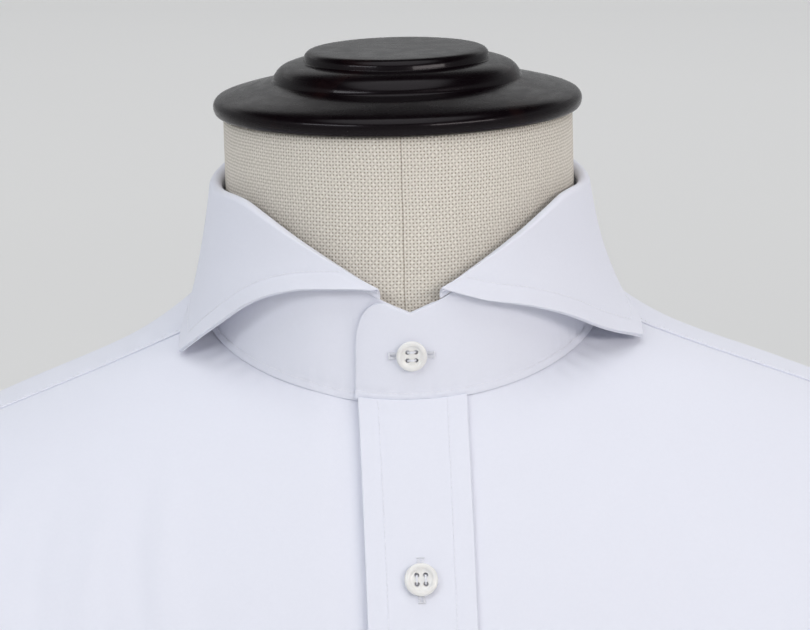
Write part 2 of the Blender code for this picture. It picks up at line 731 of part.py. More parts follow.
def make_buttons():
    """The collar's, the fronts' and the cuffs' buttons."""
    placket_out = CLOTH + SEAM_GAP
    for i in range(FRONT_BUTTONS):
        level = NECK_HEIGHT + FRONT_BUTTON_TOP - i * FRONT_BUTTON_PITCH
        number = solve(lambda n: body_base(0.0, n).z - level, 0.0, HEM)
        button("front_button_%d" % (i + 1), body(0.0, number, placket_out), body_normal(0.0, number))
    foot = body_base(0.0, 0.0)
    line = fold_line(0.0)
    head = around_neck(0.0, line.radius - ROLL_HALF + CLOTH, line.z - ROLL_DROP)
    along = (head - foot).normalized()
    facing = Vector((0.0, -along.z, along.y))
    button("collar_button", foot.lerp(head, COLLAR_BUTTON_AT), facing, COLLAR_BUTTON_RADIUS)
    middle = SLEEVE_RINGS[-1].z - CUFF_HEIGHT / 2 + NECK_HEIGHT
    turn = CUFF_EDGE + CUFF_LAP * CUFF_BUTTON_AT
    centre = cuff_point(turn, middle, -UNDER)
    along = cuff_point(turn + 3, middle, -UNDER) - cuff_point(turn - 3, middle, -UNDER)
    facing = along.cross(Vector((0, 0, 1))).normalized()
    facing *= math.copysign(1.0, facing.x)
    for name, side in (("left", 1), ("right", -1)):
        normal = Vector((facing.x * side, facing.y, 0.0))
        button("cuff_button_" + name, Vector((centre.x * side, centre.y, middle)), normal)


def make_form():
    """The torso and neck that carry the shirt, one closed body."""
    angles = [i * 10.0 for i in range(36)]
    rows = []
    for z, radius in NECK_ROWS:
        rows.append([around_neck(angle, radius, z) for angle in angles])
    row = []
    for angle in angles:
        inward = around_neck(angle, 0.0, 0.0) - around_neck(angle, FORM_GAPS[0], CLOTH)
        row.append(body_base(angle, 0.0) + inward)
    rows.append(row)
    for number in FORM_NUMBERS:
        lower = int(number)
        part = number - lower
        upper = min(lower + 1, len(FORM_GAPS) - 1)
        gap = FORM_GAPS[lower] * (1 - part) + FORM_GAPS[upper] * part
        rows.append([body_base(angle, number) - body_normal(angle, number) * gap for angle in angles])
    for ring in FORM_RINGS:
        row = []
        for angle in angles:
            sine, cosine = math.sin(math.radians(angle)), math.cos(math.radians(angle))
            depth = ring.front if cosine > 0 else ring.back
            power = 2 / FORM_SQUARE
            x = ring.half_width * math.copysign(abs(sine) ** power, sine)
            y = -depth * math.copysign(abs(cosine) ** power, cosine)
            row.append(Vector((x, y + BODY_SHIFT, ring.z + NECK_HEIGHT)))
        rows.append(row)
    return place("form_body", grid_mesh("form_body", rows, closed=True, caps=True), LINEN)


def turned(name, profile, base, recipe, steps):
    """A turned solid from its profile, standing on a height above the floor."""
    shape = bmesh.new()
    points = [shape.verts.new((row.radius, 0.0, row.z)) for row in profile]
    points.append(shape.verts.new((0.0, 0.0, profile[-1].z)))
    if profile[0].radius > 0:
        points.insert(0, shape.verts.new((0.0, 0.0, profile[0].z)))
    for a, b in zip(points, points[1:]):
        shape.edges.new((a, b))
    mesh = bpy.data.meshes.new(name)
    shape.to_mesh(mesh)
    shape.free()
    made = place(name, mesh, recipe)
    spin = made.modifiers.new("turn", "SCREW")
    spin.steps = steps
    spin.render_steps = steps
    spin.use_merge_vertices = True
    spin.merge_threshold = 0.00005
    made.location = base
    return made


def make_stand():
    """The neck's cap, the plate under the form, the pole and the base."""
    turned("neck_cap", CAP_PROFILE, Vector((0.0, BODY_SHIFT, NECK_HEIGHT + NECK_TOP)), LACQUER, 36)
    turned("stand_base", BASE_PROFILE, Vector((0.0, 0.0, 0.0)), STEEL, 40)
    plate_level = NECK_HEIGHT + FORM_BOTTOM - SEAM_GAP - PLATE_HEIGHT
    turned("form_base_plate", PLATE_PROFILE, Vector((0.0, 0.0, plate_level)), STEEL, 24)
    pole_top = plate_level - SEAM_GAP
    pole_bottom = BASE_HEIGHT + SEAM_GAP
    pole = [Turned(POLE_RADIUS, pole_top - pole_bottom), Turned(POLE_RADIUS, 0.0)]
    turned("stand_pole", pole, Vector((0.0, 0.0, pole_bottom)), STEEL, 24)


def main():
    for old in list(bpy.data.objects):
        bpy.data.objects.remove(old)
    collection = bpy.data.collections.new("cutaway_shirt")
    bpy.context.scene.collection.children.link(collection)
    make_form()
    make_stand()
    make_front("front_left", 1)
    make_front("front_right", -1)
    make_placket()
    make_yoke()
    make_back()
    make_band()
    make_leaf()
    make_sleeves()
    make_buttons()


main()
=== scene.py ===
"""The looks of a white cutaway-collar shirt on a limbless dress form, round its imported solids.

Metres, +Z up. The wearer faces -Y and the wearer's left is +X. Heights in the garment's tables
are measured from the middle of the neckline, as in the solids' own source.
"""
import math
from collections import namedtuple

import bmesh
import bpy
import numpy as np
from mathutils import Matrix, Vector


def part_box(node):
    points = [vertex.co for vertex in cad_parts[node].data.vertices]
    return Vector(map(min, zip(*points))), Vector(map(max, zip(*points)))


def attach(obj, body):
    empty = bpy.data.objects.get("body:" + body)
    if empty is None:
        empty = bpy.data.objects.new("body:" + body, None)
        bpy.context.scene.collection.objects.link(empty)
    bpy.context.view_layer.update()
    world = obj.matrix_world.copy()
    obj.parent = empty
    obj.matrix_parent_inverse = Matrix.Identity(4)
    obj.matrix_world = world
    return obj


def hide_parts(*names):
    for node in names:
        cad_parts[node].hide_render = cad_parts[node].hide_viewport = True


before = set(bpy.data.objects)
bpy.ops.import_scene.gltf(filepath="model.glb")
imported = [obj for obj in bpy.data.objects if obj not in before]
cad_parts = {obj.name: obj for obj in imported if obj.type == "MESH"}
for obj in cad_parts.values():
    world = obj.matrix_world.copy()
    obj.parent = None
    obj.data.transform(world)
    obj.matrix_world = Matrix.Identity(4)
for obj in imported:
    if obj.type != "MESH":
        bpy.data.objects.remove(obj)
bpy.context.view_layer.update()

# Driving dimensions, shared with the solids
NECK_HEIGHT = 0.955
BODY_SHIFT = 0.0075
CLOTH = 0.0012
SEAM_GAP = 0.0003
LAYER_GAP = 0.0004
PLACKET_WIDTH = 0.036
OVERLAP = PLACKET_WIDTH / 2
YOKE_SEAM_AHEAD = 0.0105
YOKE_SEAM_HEIGHT = -0.100
FRONT_BUTTONS = 6
FRONT_BUTTON_TOP = -0.080
FRONT_BUTTON_PITCH = 0.092
NECK_RADIUS = 0.0606
NECK_TOP = 0.0640

# The photograph's view: the neckline's middle lies at this pixel of the frame
FRAME_WIDTH = 810
FRAME_HEIGHT = 630
VIEW_CENTRE = (402.5, 290.8)
VIEW_DISTANCE = 1.5
PIXEL_AT_NECK = 0.00035
VIEW_ELEVATION = 11.2
VIEW_AZIMUTH = -2.2
VIEW_ROLL = 1.5
SENSOR = 36.0

Ring = namedtuple("Ring", "number half_width front back z_front z_side z_back tilt square")
BODY_RINGS = [
    Ring(0, 0.0690, 0.0650, 0.0725, -0.0255, -0.0030, 0.0150, -0.0200, 2.00),
    Ring(1, 0.1000, 0.0810, 0.0880, -0.0520, -0.0184, -0.0100, -0.0030, 2.00),
    Ring(2, 0.1420, 0.0980, 0.1020, -0.0870, -0.0348, -0.0420, -0.0020, 2.10),
    Ring(3, 0.1820, 0.1110, 0.1110, -0.1270, -0.0508, -0.0800, -0.0010, 2.20),
    Ring(4, 0.2160, 0.1190, 0.1160, -0.1650, -0.0655, -0.1150, 0.0, 2.30),
    Ring(5, 0.2200, 0.1250, 0.1180, -0.2050, -0.1350, -0.1650, 0.0, 2.35),
    Ring(6, 0.2080, 0.1290, 0.1170, -0.2500, -0.2150, -0.2250, 0.0, 2.30),
    Ring(7, 0.1960, 0.1290, 0.1150, -0.3000, -0.2900, -0.2900, 0.0, 2.25),
    Ring(8, 0.1860, 0.1230, 0.1080, -0.4400, -0.4400, -0.4400, 0.0, 2.20),
    Ring(9, 0.1880, 0.1220, 0.1100, -0.6000, -0.5900, -0.6000, 0.0, 2.20),
    Ring(10, 0.1930, 0.1240, 0.1140, -0.7850, -0.7050, -0.8050, 0.0, 2.20),
]
SHOULDER_TIP = 4.0
ARMPIT = 7.0
HEM = 10.0
FLATTEN = 2.8

# Clearance from the cloth to the form at each ring down to the armpit, then the form's own rings
FORM_GAPS = [0.0036, 0.0042, 0.0052, 0.0064, 0.0080, 0.0095, 0.0100, 0.0110]
FormRing = namedtuple("FormRing", "half_width front back z")
FORM_RINGS = [
    FormRing(0.1700, 0.1090, 0.0960, -0.360),
    FormRing(0.1580, 0.1000, 0.0890, -0.430),
    FormRing(0.1600, 0.0990, 0.0930, -0.520),
    FormRing(0.1660, 0.1000, 0.0980, -0.610),
    FormRing(0.1650, 0.0990, 0.0970, -0.674),
    FormRing(0.1600, 0.0940, 0.0920, -0.680),
]
FORM_SQUARE = 2.2
# The form's rows: heights up its neck with how far each stands out, then the body's ring numbers
FORM_NECK_ROWS = ((NECK_TOP - SEAM_GAP, 0.0), (0.052, 0.0), (0.040, 0.0), (0.020, 0.0002))
FORM_NECK_DROP = 0.0012
FORM_BODY_ROWS = (0.4, 1.0, 1.5, 2.0, 2.6, 3.2, 3.7, 4.1, 4.5, 5.0, 5.6, 6.3, 7.0)

ARMHOLE_MIDDLE = (SHOULDER_TIP + ARMPIT) / 2
ARMHOLE_HALF = (ARMPIT - SHOULDER_TIP) / 2
ARMHOLE_FRONT = 33.0
ARMHOLE_BACK = 28.0

# The hanging cloth's large folds: angle round the body, rings of start and end, half-width, depth
Fold = namedtuple("Fold", "angle top bottom half_width depth")
BODY_FOLDS = [
    Fold(38, 7.2, 11.5, 13, 0.0060),
    Fold(62, 7.4, 11.5, 11, -0.0050),
    Fold(-34, 7.3, 11.5, 14, 0.0052),
    Fold(-60, 7.1, 11.5, 12, -0.0055),
    Fold(128, 6.6, 11.5, 12, 0.0070),
    Fold(152, 6.9, 11.5, 11, -0.0060),
    Fold(-131, 6.7, 11.5, 13, 0.0064),
    Fold(-156, 6.4, 11.5, 12, -0.0064),
    Fold(178, 6.2, 11.5, 12, 0.0060),
]

# Creases: where each starts and ends on its surface, how far it bows aside, half-width and depth.
# On the body the places are angle and ring number, on a sleeve the turn round it and the height.
Crease = namedtuple("Crease", "across down to_across to_down bow width depth")
BODY_CREASES = [
    # Faint ripples of the chest
    Crease(-42, 1.4, -23, 3.4, 1.0, 0.0040, 0.00110),
    Crease(-46, 1.5, -27, 3.0, -0.5, 0.0034, -0.00070),
    Crease(-50, 1.6, -29, 3.8, 0.5, 0.0038, 0.00095),
    Crease(-56, 1.9, -33, 3.9, 0.5, 0.0036, -0.00080),
    Crease(-61, 2.0, -38, 4.3, 0.0, 0.0046, 0.00120),
    Crease(-34, 1.9, -18, 3.5, 0.0, 0.0040, 0.00070),
    Crease(-52, 2.6, -43, 5.2, 1.5, 0.0050, -0.00090),
    Crease(38, 1.6, 20, 3.6, 1.0, 0.0050, -0.00080),
    Crease(50, 1.9, 33, 4.3, -1.0, 0.0055, 0.00100),
    Crease(60, 1.7, 45, 4.8, 0.5, 0.0048, -0.00075),
    # Drag lines from the armholes to the chest
    Crease(66, 4.6, 42, 6.2, -3.0, 0.0085, 0.0035),
    Crease(62, 5.0, 36, 6.9, -3.0, 0.0075, -0.0029),
    Crease(70, 6.0, 47, 7.5, -2.0, 0.0080, 0.0040),
    Crease(-64, 4.4, -40, 6.0, 3.0, 0.0090, 0.0030),
    Crease(-60, 5.1, -31, 7.1, 3.0, 0.0070, -0.0026),
    Crease(-71, 6.1, -50, 7.3, 2.0, 0.0085, 0.0044),
    # Long falls of the fronts
    Crease(22, 6.6, 25, 9.6, 1.5, 0.0110, 0.0035),
    Crease(31, 7.6, 30, 10.0, -1.0, 0.0080, -0.0030),
    Crease(48, 7.1, 52, 9.9, 2.0, 0.0120, 0.0049),
    Crease(72, 7.3, 74, 9.8, -1.5, 0.0100, 0.0040),
    Crease(-20, 7.0, -23, 9.9, -1.0, 0.0100, 0.0030),
    Crease(-29, 6.5, -27, 8.9, 1.0, 0.0080, -0.0024),
    Crease(-45, 7.5, -49, 10.0, -2.0, 0.0120, 0.0044),
    Crease(-73, 7.2, -70, 9.6, 1.5, 0.0090, 0.0040),
    # Crumples at the waist
    Crease(15, 7.9, 40, 8.2, 2.0, 0.0070, -0.0020),
    Crease(52, 8.3, 84, 7.9, -3.0, 0.0080, -0.0026),
    Crease(-16, 8.2, -44, 7.8, -2.0, 0.0075, -0.0022),
    Crease(-55, 8.0, -86, 8.3, 3.0, 0.0080, -0.0024),
    # Drag lines and falls of the back
    Crease(112, 4.8, 138, 6.6, 3.0, 0.0095, 0.0037),
    Crease(116, 5.5, 146, 7.2, 3.0, 0.0080, -0.0030),
    Crease(108, 6.3, 130, 7.6, 2.0, 0.0085, 0.0041),
    Crease(-114, 4.7, -139, 6.3, -3.0, 0.0090, 0.0035),
    Crease(-117, 5.6, -150, 7.3, -3.0, 0.0080, -0.0029),
    Crease(-107, 6.4, -128, 7.8, -2.0, 0.0090, 0.0040),
    Crease(141, 6.4, 144, 9.8, 1.5, 0.0110, 0.0044),
    Crease(164, 5.6, 166, 9.4, -1.5, 0.0120, 0.0040),
    Crease(-168, 5.3, -166, 9.6, 1.0, 0.0110, 0.0037),
    Crease(-144, 6.6, -141, 9.9, -2.0, 0.0100, 0.0046),
    Crease(-176, 6.8, -178, 9.9, 1.0, 0.0090, -0.0030),
    Crease(98, 7.4, 101, 9.7, 1.0, 0.0100, 0.0037),
    Crease(-99, 7.3, -102, 9.8, -1.0, 0.0100, 0.0035),
    Crease(104, 8.1, 138, 7.9, 3.0, 0.0085, -0.0026),
    Crease(150, 8.3, 176, 8.0, 2.0, 0.0080, -0.0022),
    Crease(-106, 7.9, -140, 8.2, -3.0, 0.0085, -0.0026),
    Crease(-152, 8.0, -172, 8.3, -2.0, 0.0075, -0.0020),
]
SLEEVE_CREASES = [
    # Falls from the sleeve's head
    Crease(12, -0.110, 28, -0.330, 6.0, 0.0100, 0.0043),
    Crease(32, -0.150, 50, -0.400, 5.0, 0.0085, -0.0041),
    Crease(-14, -0.120, -30, -0.350, -6.0, 0.0100, 0.0038),
    Crease(-38, -0.160, -56, -0.420, -5.0, 0.0085, -0.0038),
    # The elbow's bends
    Crease(70, -0.455, -15, -0.490, 8.0, 0.0075, -0.0057),
    Crease(62, -0.500, -30, -0.515, -6.0, 0.0070, 0.0038),
    Crease(75, -0.545, -5, -0.520, 5.0, 0.0080, -0.0052),
    Crease(-70, -0.470, -8, -0.452, -5.0, 0.0075, -0.0038),
    Crease(-62, -0.560, 18, -0.585, -6.0, 0.0075, -0.0043),
    Crease(48, -0.385, -32, -0.410, 5.0, 0.0085, -0.0036),
    # Falls into the cuff
    Crease(10, -0.560, 16, -0.652, 2.0, 0.0065, 0.0036),
    Crease(34, -0.575, 38, -0.654, -2.0, 0.0055, -0.0034),
    Crease(-12, -0.585, -8, -0.653, 2.0, 0.0055, -0.0028),
    # The inner side
    Crease(150, -0.400, 205, -0.440, 5.0, 0.0085, -0.0043),
    Crease(212, -0.500, 148, -0.525, 5.0, 0.0080, -0.0048),
    Crease(170, -0.560, 176, -0.650, 3.0, 0.0070, 0.0036),
    Crease(196, -0.570, 193, -0.652, -2.0, 0.0060, -0.0031),
]

FoldLine = namedtuple("FoldLine", "angle radius z")
FOLD_LINE = [
    FoldLine(0, 0.0668, 0.0085),
    FoldLine(9, 0.0668, 0.0130),
    FoldLine(20, 0.0668, 0.0206),
    FoldLine(33, 0.0668, 0.0290),
    FoldLine(46, 0.0665, 0.0364),
    FoldLine(57, 0.0657, 0.0402),
    FoldLine(78, 0.0643, 0.0404),
    FoldLine(105, 0.0640, 0.0424),
    FoldLine(140, 0.0647, 0.0490),
    FoldLine(180, 0.0652, 0.0545),
]
LEAF_START = 9.0
COLLAR_LEAN = 0.0007
Edge = namedtuple("Edge", "share angle radius z shift")
LEAF_EDGE = [
    Edge(0.00, 180.0, 0.0820, 0.0085, 0.0),
    Edge(0.22, 148.0, 0.0800, 0.0080, 0.0),
    Edge(0.44, 118.0, 0.0768, 0.0045, 0.0),
    Edge(0.62, 99.0, 0.0754, -0.0015, 0.0007),
    Edge(0.74, 90.0, 0.0772, -0.0050, 0.0014),
    Edge(0.88, 80.0, 0.0807, -0.0080, 0.0019),
    Edge(1.00, 71.5, 0.0843, -0.0130, 0.0016),
]
Bulge = namedtuple("Bulge", "share out down")
LEAF_BULGE = [
    Bulge(0.00, 0.0006, 0.50),
    Bulge(0.60, 0.0008, 0.50),
    Bulge(0.85, 0.0048, 0.46),
    Bulge(1.00, 0.0105, 0.42),
]
Lift = namedtuple("Lift", "down left right")
LEAF_LIFTS = [
    Lift(0.0, 0.0028, 0.0028),
    Lift(0.2, 0.0022, 0.0074),
    Lift(0.4, 0.0035, 0.0110),
    Lift(0.6, 0.0030, 0.0110),
    Lift(0.8, 0.0005, 0.0060),
    Lift(1.0, 0.0, 0.0),
]
LIFT_START = 0.5
ROLL_HALF = 0.0022
ROLL_HEIGHT = 0.0022
ROLL_DROP = 0.0034
# Down values of the leaf: the foot of its inner leg, and where the fold's roll begins
LEG_FOOT = -1.0
ROLL_START = -0.8
# How much of the leaf's spread it has at its middle, and how far in its edges are felt
LEAF_SPREAD = 0.55
EDGE_REACH = 0.014
# The stand's radii, its rounded front corners, and the height at its ends as a share
BAND_RADIUS = 0.066
BAND_FRONT_RADIUS = 0.065
BAND_CORNER = 0.012
BAND_END_HEIGHT = 0.45

Tube = namedtuple("Tube", "z x y half_thick half_depth")
SLEEVE_RINGS = [
    Tube(-0.345, 0.2330, 0.0000, 0.0215, 0.0860),
    Tube(-0.430, 0.2320, -0.0020, 0.0205, 0.0800),
    Tube(-0.510, 0.2310, -0.0060, 0.0200, 0.0750),
    Tube(-0.590, 0.2310, -0.0120, 0.0195, 0.0690),
    Tube(-0.640, 0.2310, -0.0160, 0.0190, 0.0640),
    Tube(-0.656, 0.2310, -0.0175, 0.0184, 0.0592),
    Tube(-0.660, 0.2310, -0.0175, 0.0184, 0.0590),
]
SLEEVE_LEAVES_SIDE = np.array((1.0, 0.0, -0.42))
SLEEVE_LEAVES_TOP = np.array((0.76, 0.0, -0.65))
# Handles of the head's curve as shares of its length: at the armhole, added at the top, below
SLEEVE_LEAVE = 0.16
SLEEVE_LEAVE_TOP = 0.12
SLEEVE_ARRIVE = 0.48
# The sleeve's opening starts this share down it, and creases fade out above the cuff
SLEEVE_OPENING_START = 8 / 13
SLEEVE_PLACKET_FOOT = -0.659
SLEEVE_FADE = 0.006
CUFF_HEIGHT = 0.063
CUFF_EDGE = -54.0
CUFF_LAP = 28.0
Bend = namedtuple("Bend", "z angle half_height half_width depth")
SLEEVE_BENDS = [
    Bend(-0.505, 35, 0.020, 70, -0.0045),
    Bend(-0.545, -30, 0.018, 75, -0.0040),
    Bend(-0.460, -20, 0.022, 60, -0.0030),
    Bend(-0.390, 30, 0.024, 60, -0.0030),
    Bend(-0.610, 20, 0.014, 60, -0.0030),
]

# Turned profiles, from the top down: radius and height above the piece's underside
Turned = namedtuple("Turned", "radius z")
CAP_PROFILE = [Turned(*row) for row in (
    (0.0000, 0.0218), (0.0160, 0.0218), (0.0285, 0.0217), (0.0306, 0.0212), (0.0318, 0.0200),
    (0.0322, 0.0186), (0.0324, 0.0180), (0.0340, 0.0178), (0.0376, 0.0170), (0.0406, 0.0156),
    (0.0426, 0.0132), (0.0433, 0.0115), (0.0440, 0.0110), (0.0520, 0.0092), (0.0590, 0.0074),
    (0.0622, 0.0062), (0.0636, 0.0048), (0.0640, 0.0032), (0.0636, 0.0014), (0.0628, 0.0004),
    (0.0616, 0.0000),
)]
BASE_PROFILE = [Turned(*row) for row in (
    (0.0176, 0.0222), (0.0225, 0.0220), (0.0250, 0.0214), (0.0400, 0.0200), (0.0900, 0.0165),
    (0.1380, 0.0128), (0.1495, 0.0106), (0.1543, 0.0074), (0.1550, 0.0050), (0.1546, 0.0016),
    (0.1535, 0.0000),
)]
BUTTON_RADIUS = 0.0056
COLLAR_BUTTON_RADIUS = 0.0052

# Sewing
STITCH = 0.0018
STITCH_GAP = 0.0003
THREAD = 0.00013
TOPSTITCH = 0.0060
PLACKET_STITCH = 0.0067
NECK_STITCH = 0.0026
SEAM_STITCH = 0.0016
HEM_STITCH = 0.0060
BUTTONHOLE = 0.0145
# A buttonhole's sewn edge: where its threads start and end, their pitch, and its bar's length
HOLE_LIP_INNER = 0.00018
HOLE_LIP_OUTER = 0.00125
HOLE_PITCH = 0.00034
HOLE_END = 0.0007

# Seams: the grid's side, the felled ridge's height, the puckers' depth, pitch, reach and start
Seam = namedtuple("Seam", "side ridge pull pitch reach seed")
FRONT_SEAMS = [
    Seam("top", 0.0, 0.00022, 0.0068, 0.008, 0.9),
    Seam("end", 0.0, 0.00020, 0.0090, 0.008, 2.2),
]
YOKE_SEAMS = [
    Seam("top", 0.0, 0.00016, 0.0110, 0.008, 0.3),
    Seam("bottom", 0.00045, 0.00018, 0.0110, 0.008, 1.1),
    Seam("start", 0.00065, 0.00048, 0.0110, 0.019, 2.7),
    Seam("end", 0.00065, 0.00048, 0.0110, 0.019, 3.9),
]
BACK_SEAMS = [
    Seam("top", 0.0, 0.00018, 0.0085, 0.008, 0.8),
    Seam("start", 0.0, 0.00020, 0.0085, 0.008, 1.7),
    Seam("end", 0.0, 0.00020, 0.0085, 0.008, 2.9),
]
YOKE_CHANNEL = 0.00010
# The button's thread: how far apart its strands are, their height, thickness and dip at the ends
STRAND_GAP = 0.00022
STRAND_HEIGHT = 0.00165
STRAND = 0.00016
STRAND_DIP = 0.0006
# The buttonhole's thread and its dip at the ends
HOLE_THREAD = 0.00020
HOLE_DIP = 0.00012
HOLE_WOBBLE = 0.00008
# The leaf's under layer: how far its lip stands out, and where down the leaf it begins
LIP = 0.00035
LIP_START = 0.30

RANDOM = np.random.default_rng(4)


def smooth(t):
    """Ease from 0 to 1."""
    t = np.clip(t, 0.0, 1.0)
    return t * t * (3 - 2 * t)


def blend(table, key, value):
    """A table's row at values of its key column, on a smooth curve through the rows."""
    rows = np.array(sorted(table, key=lambda row: getattr(row, key)), float)
    keys = rows[:, table[0]._fields.index(key)]
    last = len(keys) - 1
    value = np.clip(np.asarray(value, float), keys[0], keys[-1])
    i = np.clip(np.searchsorted(keys, value, side="right") - 1, 0, last - 1)
    before = np.maximum(i - 1, 0)
    after = np.minimum(i + 2, last)
    step = keys[i + 1] - keys[i]
    t = ((value - keys[i]) / step)[..., None]
    step = step[..., None]
    here = rows[i]
    there = rows[i + 1]
    slope_here = (there - rows[before]) / (keys[i + 1] - keys[before])[..., None] * step
    slope_there = (rows[after] - here) / (keys[after] - keys[i])[..., None] * step
    mixed = (
        here * (1 + 2 * t) * (1 - t) ** 2
        + slope_here * t * (1 - t) ** 2
        + there * t * t * (3 - 2 * t)
        - slope_there * t * t * (1 - t)
    )
    return type(table[0])(*np.moveaxis(mixed, -1, 0))


def joined(*parts):
    """Points from their coordinates."""
    return np.stack(np.broadcast_arrays(*parts), -1)


def unit(vectors):
    """Vectors at length 1."""
    return vectors / np.maximum(np.linalg.norm(vectors, axis=-1, keepdims=True), 1e-12)


def solve(function, low, high):
    """Where a function of arrays crosses zero, by halving."""
    rising = function(high) > function(low)
    for _ in range(40):
        middle = (low + high) / 2
        past = (function(middle) > 0) == rising
        high = np.where(past, middle, high)
        low = np.where(past, low, middle)
    return (low + high) / 2


def spaced(count, start=1.0, end=1.0):
    """Values from 0 to 1 whose steps at the start and the end are those shares of the others."""
    steps = np.interp(np.linspace(0, 1, count - 1), (0, 0.2, 0.8, 1), (start, 1, 1, end))
    return np.concatenate(((0.0,), np.cumsum(steps))) / steps.sum()


def crease_depth(points, creases, place):
    """How far the creases move a surface's points, outward when positive."""
    total = np.zeros(points.shape[:-1])
    t = np.linspace(0, 1, 31)
    for crease in creases:
        across = crease.across + (crease.to_across - crease.across) * t + crease.bow * np.sin(math.pi * t)
        line = place(across, crease.down + (crease.to_down - crease.down) * t)
        low = line.min(0) - 3 * crease.width
        high = line.max(0) + 3 * crease.width
        near = ((points > low) & (points < high)).all(-1)
        if not near.any():
            continue
        gaps = np.linalg.norm(points[near][:, None, :] - line, axis=-1)
        fade = np.sin(math.pi * t[gaps.argmin(-1)]) ** 1.3
        total[near] += crease.depth * fade * np.exp(-((gaps.min(-1) / crease.width) ** 2))
    return total


def fold_depth(angle, number):
    """How far the hanging cloth's large folds move it outward."""
    total = np.zeros(np.broadcast(angle, number).shape)
    for fold in BODY_FOLDS:
        away = np.abs((angle - fold.angle + 180) % 360 - 180) / fold.half_width
        reach = smooth((number - fold.top) / (fold.bottom - fold.top) * 1.6)
        total += fold.depth * reach * np.where(away < 1, np.cos(away * math.pi / 2) ** 2, 0.0)
    return total


def outline_point(ring, angle, square, z):
    """A point on a ring's outline, which is rounder at a square of 2 and boxier above it."""
    sine = np.sin(np.radians(angle))
    cosine = np.cos(np.radians(angle))
    depth = np.where(cosine > 0, ring.front, ring.back)
    x = ring.half_width * np.sign(sine) * np.abs(sine) ** (2 / square)
    y = -depth * np.sign(cosine) * np.abs(cosine) ** (2 / square)
    return joined(x, y + BODY_SHIFT, z + NECK_HEIGHT)


def body_base(angle, number):
    """A point of the body's plain surface, with no folds and no offset."""
    angle, number = np.broadcast_arrays(np.asarray(angle, float), np.asarray(number, float))
    ring = blend(BODY_RINGS, "number", number)
    cosine = np.cos(np.radians(angle))
    far = np.where(cosine > 0, ring.z_front, ring.z_back)
    lean = np.where(cosine > 0, ring.tilt, -ring.tilt)
    z = ring.z_side + ring.tilt * cosine + (far - ring.z_side - lean) * np.abs(cosine) ** FLATTEN
    return outline_point(ring, angle, ring.square, z)


def body_normal(angle, number):
    """The outward direction of the body's surface."""
    step = 0.05
    angle, number = np.broadcast_arrays(np.asarray(angle, float), np.asarray(number, float))
    lower = np.minimum(number + step, HEM)
    along = body_base(angle, lower) - body_base(angle, np.maximum(number - step, 0.0))
    across = body_base(angle + 1, number) - body_base(angle - 1, number)
    return -unit(np.cross(across, along))


def body(angle, number, out=0.0):
    """A point of the shirt's body: angle from the front towards the wearer's left, and ring."""
    base = body_base(angle, number)
    lift = out + fold_depth(angle, number) + crease_depth(base, BODY_CREASES, body_base)
    return base + body_normal(angle, number) * np.asarray(lift)[..., None]


def angle_at_x(x, number):
    """The angle where the front lies a given distance from the centre line."""
    ring = blend(BODY_RINGS, "number", number)
    share = np.minimum(1.0, np.abs(x) / ring.half_width)
    return np.sign(x) * np.degrees(np.arcsin(share ** (ring.square / 2)))


def yoke_front_angle(number):
    """The angle of the yoke's front seam, a set distance ahead of the shoulder line."""
    ring = blend(BODY_RINGS, "number", number)
    return np.degrees(np.arccos((YOKE_SEAM_AHEAD / ring.front) ** (ring.square / 2)))


def armhole(turn):
    """Angle and ring number on the armhole, from 0 at the shoulder tip, forward to 180."""
    turn = np.asarray(turn, float)
    reach = np.where(turn > 0, ARMHOLE_FRONT, ARMHOLE_BACK)
    return (90 - reach * np.sin(np.radians(turn)),
            ARMHOLE_MIDDLE - ARMHOLE_HALF * np.cos(np.radians(turn)))


def yoke_seam_number(angle):
    """The ring number where the back's seam with the yoke crosses an angle."""
    level = NECK_HEIGHT + YOKE_SEAM_HEIGHT
    angle = np.asarray(angle, float)
    low = np.full(angle.shape, 2.0)
    return solve(lambda number: body_base(angle, number)[..., 2] - level, low, low + 4.5)


def front_corner_error(turn):
    """How far a point of the armhole is from the yoke's front seam, in degrees."""
    angle, number = armhole(turn)
    return angle - yoke_front_angle(number)


def back_corner_error(turn):
    """How far a point of the armhole is from the back's seam with the yoke, in rings."""
    angle, number = armhole(turn)
    return number - yoke_seam_number(angle)


FRONT_CORNER = float(solve(front_corner_error, np.array(2.0), np.array(60.0)))
BACK_CORNER = float(solve(back_corner_error, np.array(-120.0), np.array(-5.0)))


def grid_normals(points, closed=False):
    """Outward unit normals of a grid of points, whose rows run down and columns leftward round."""
    down = np.gradient(points, axis=0)
    if closed:
        wrapped = np.concatenate((points[:, -1:], points, points[:, :1]), axis=1)
        across = np.gradient(wrapped, axis=1)[:, 1:-1]
    else:
        across = np.gradient(points, axis=1)
    return unit(np.cross(down, across))


def run_along(points, axis):
    """The distance covered along each row or column of a grid."""
    steps = np.linalg.norm(np.diff(points, axis=axis), axis=-1)
    covered = np.cumsum(steps, axis=axis)
    start = np.zeros_like(np.take(covered, [0], axis=axis))
    return np.concatenate((start, covered), axis=axis)


def edge_distance(points, side):
    """Each point's distance from one side of its grid, and how far along that side it is."""
    down = run_along(points, 0)
    across = run_along(points, 1)
    if side == "top":
        return down, across[:1] + 0 * down
    if side == "bottom":
        return down[-1:] - down, across[-1:] + 0 * down
    if side == "start":
        return across, down[:, :1] + 0 * down
    return across[:, -1:] - across, down[:, -1:] + 0 * down


def waver(run, pitch, seed):
    """An uneven wave along a seam, between about -1 and 1."""
    drift = 1.7 * np.sin(run / pitch * 0.37 + seed) + 1.1 * np.sin(run / pitch * 0.23 + 2.1 * seed)
    height = 0.65 + 0.35 * np.sin(run / pitch * 0.61 + 3.3 * seed)
    return height * np.sin(2 * math.pi * run / pitch + drift)


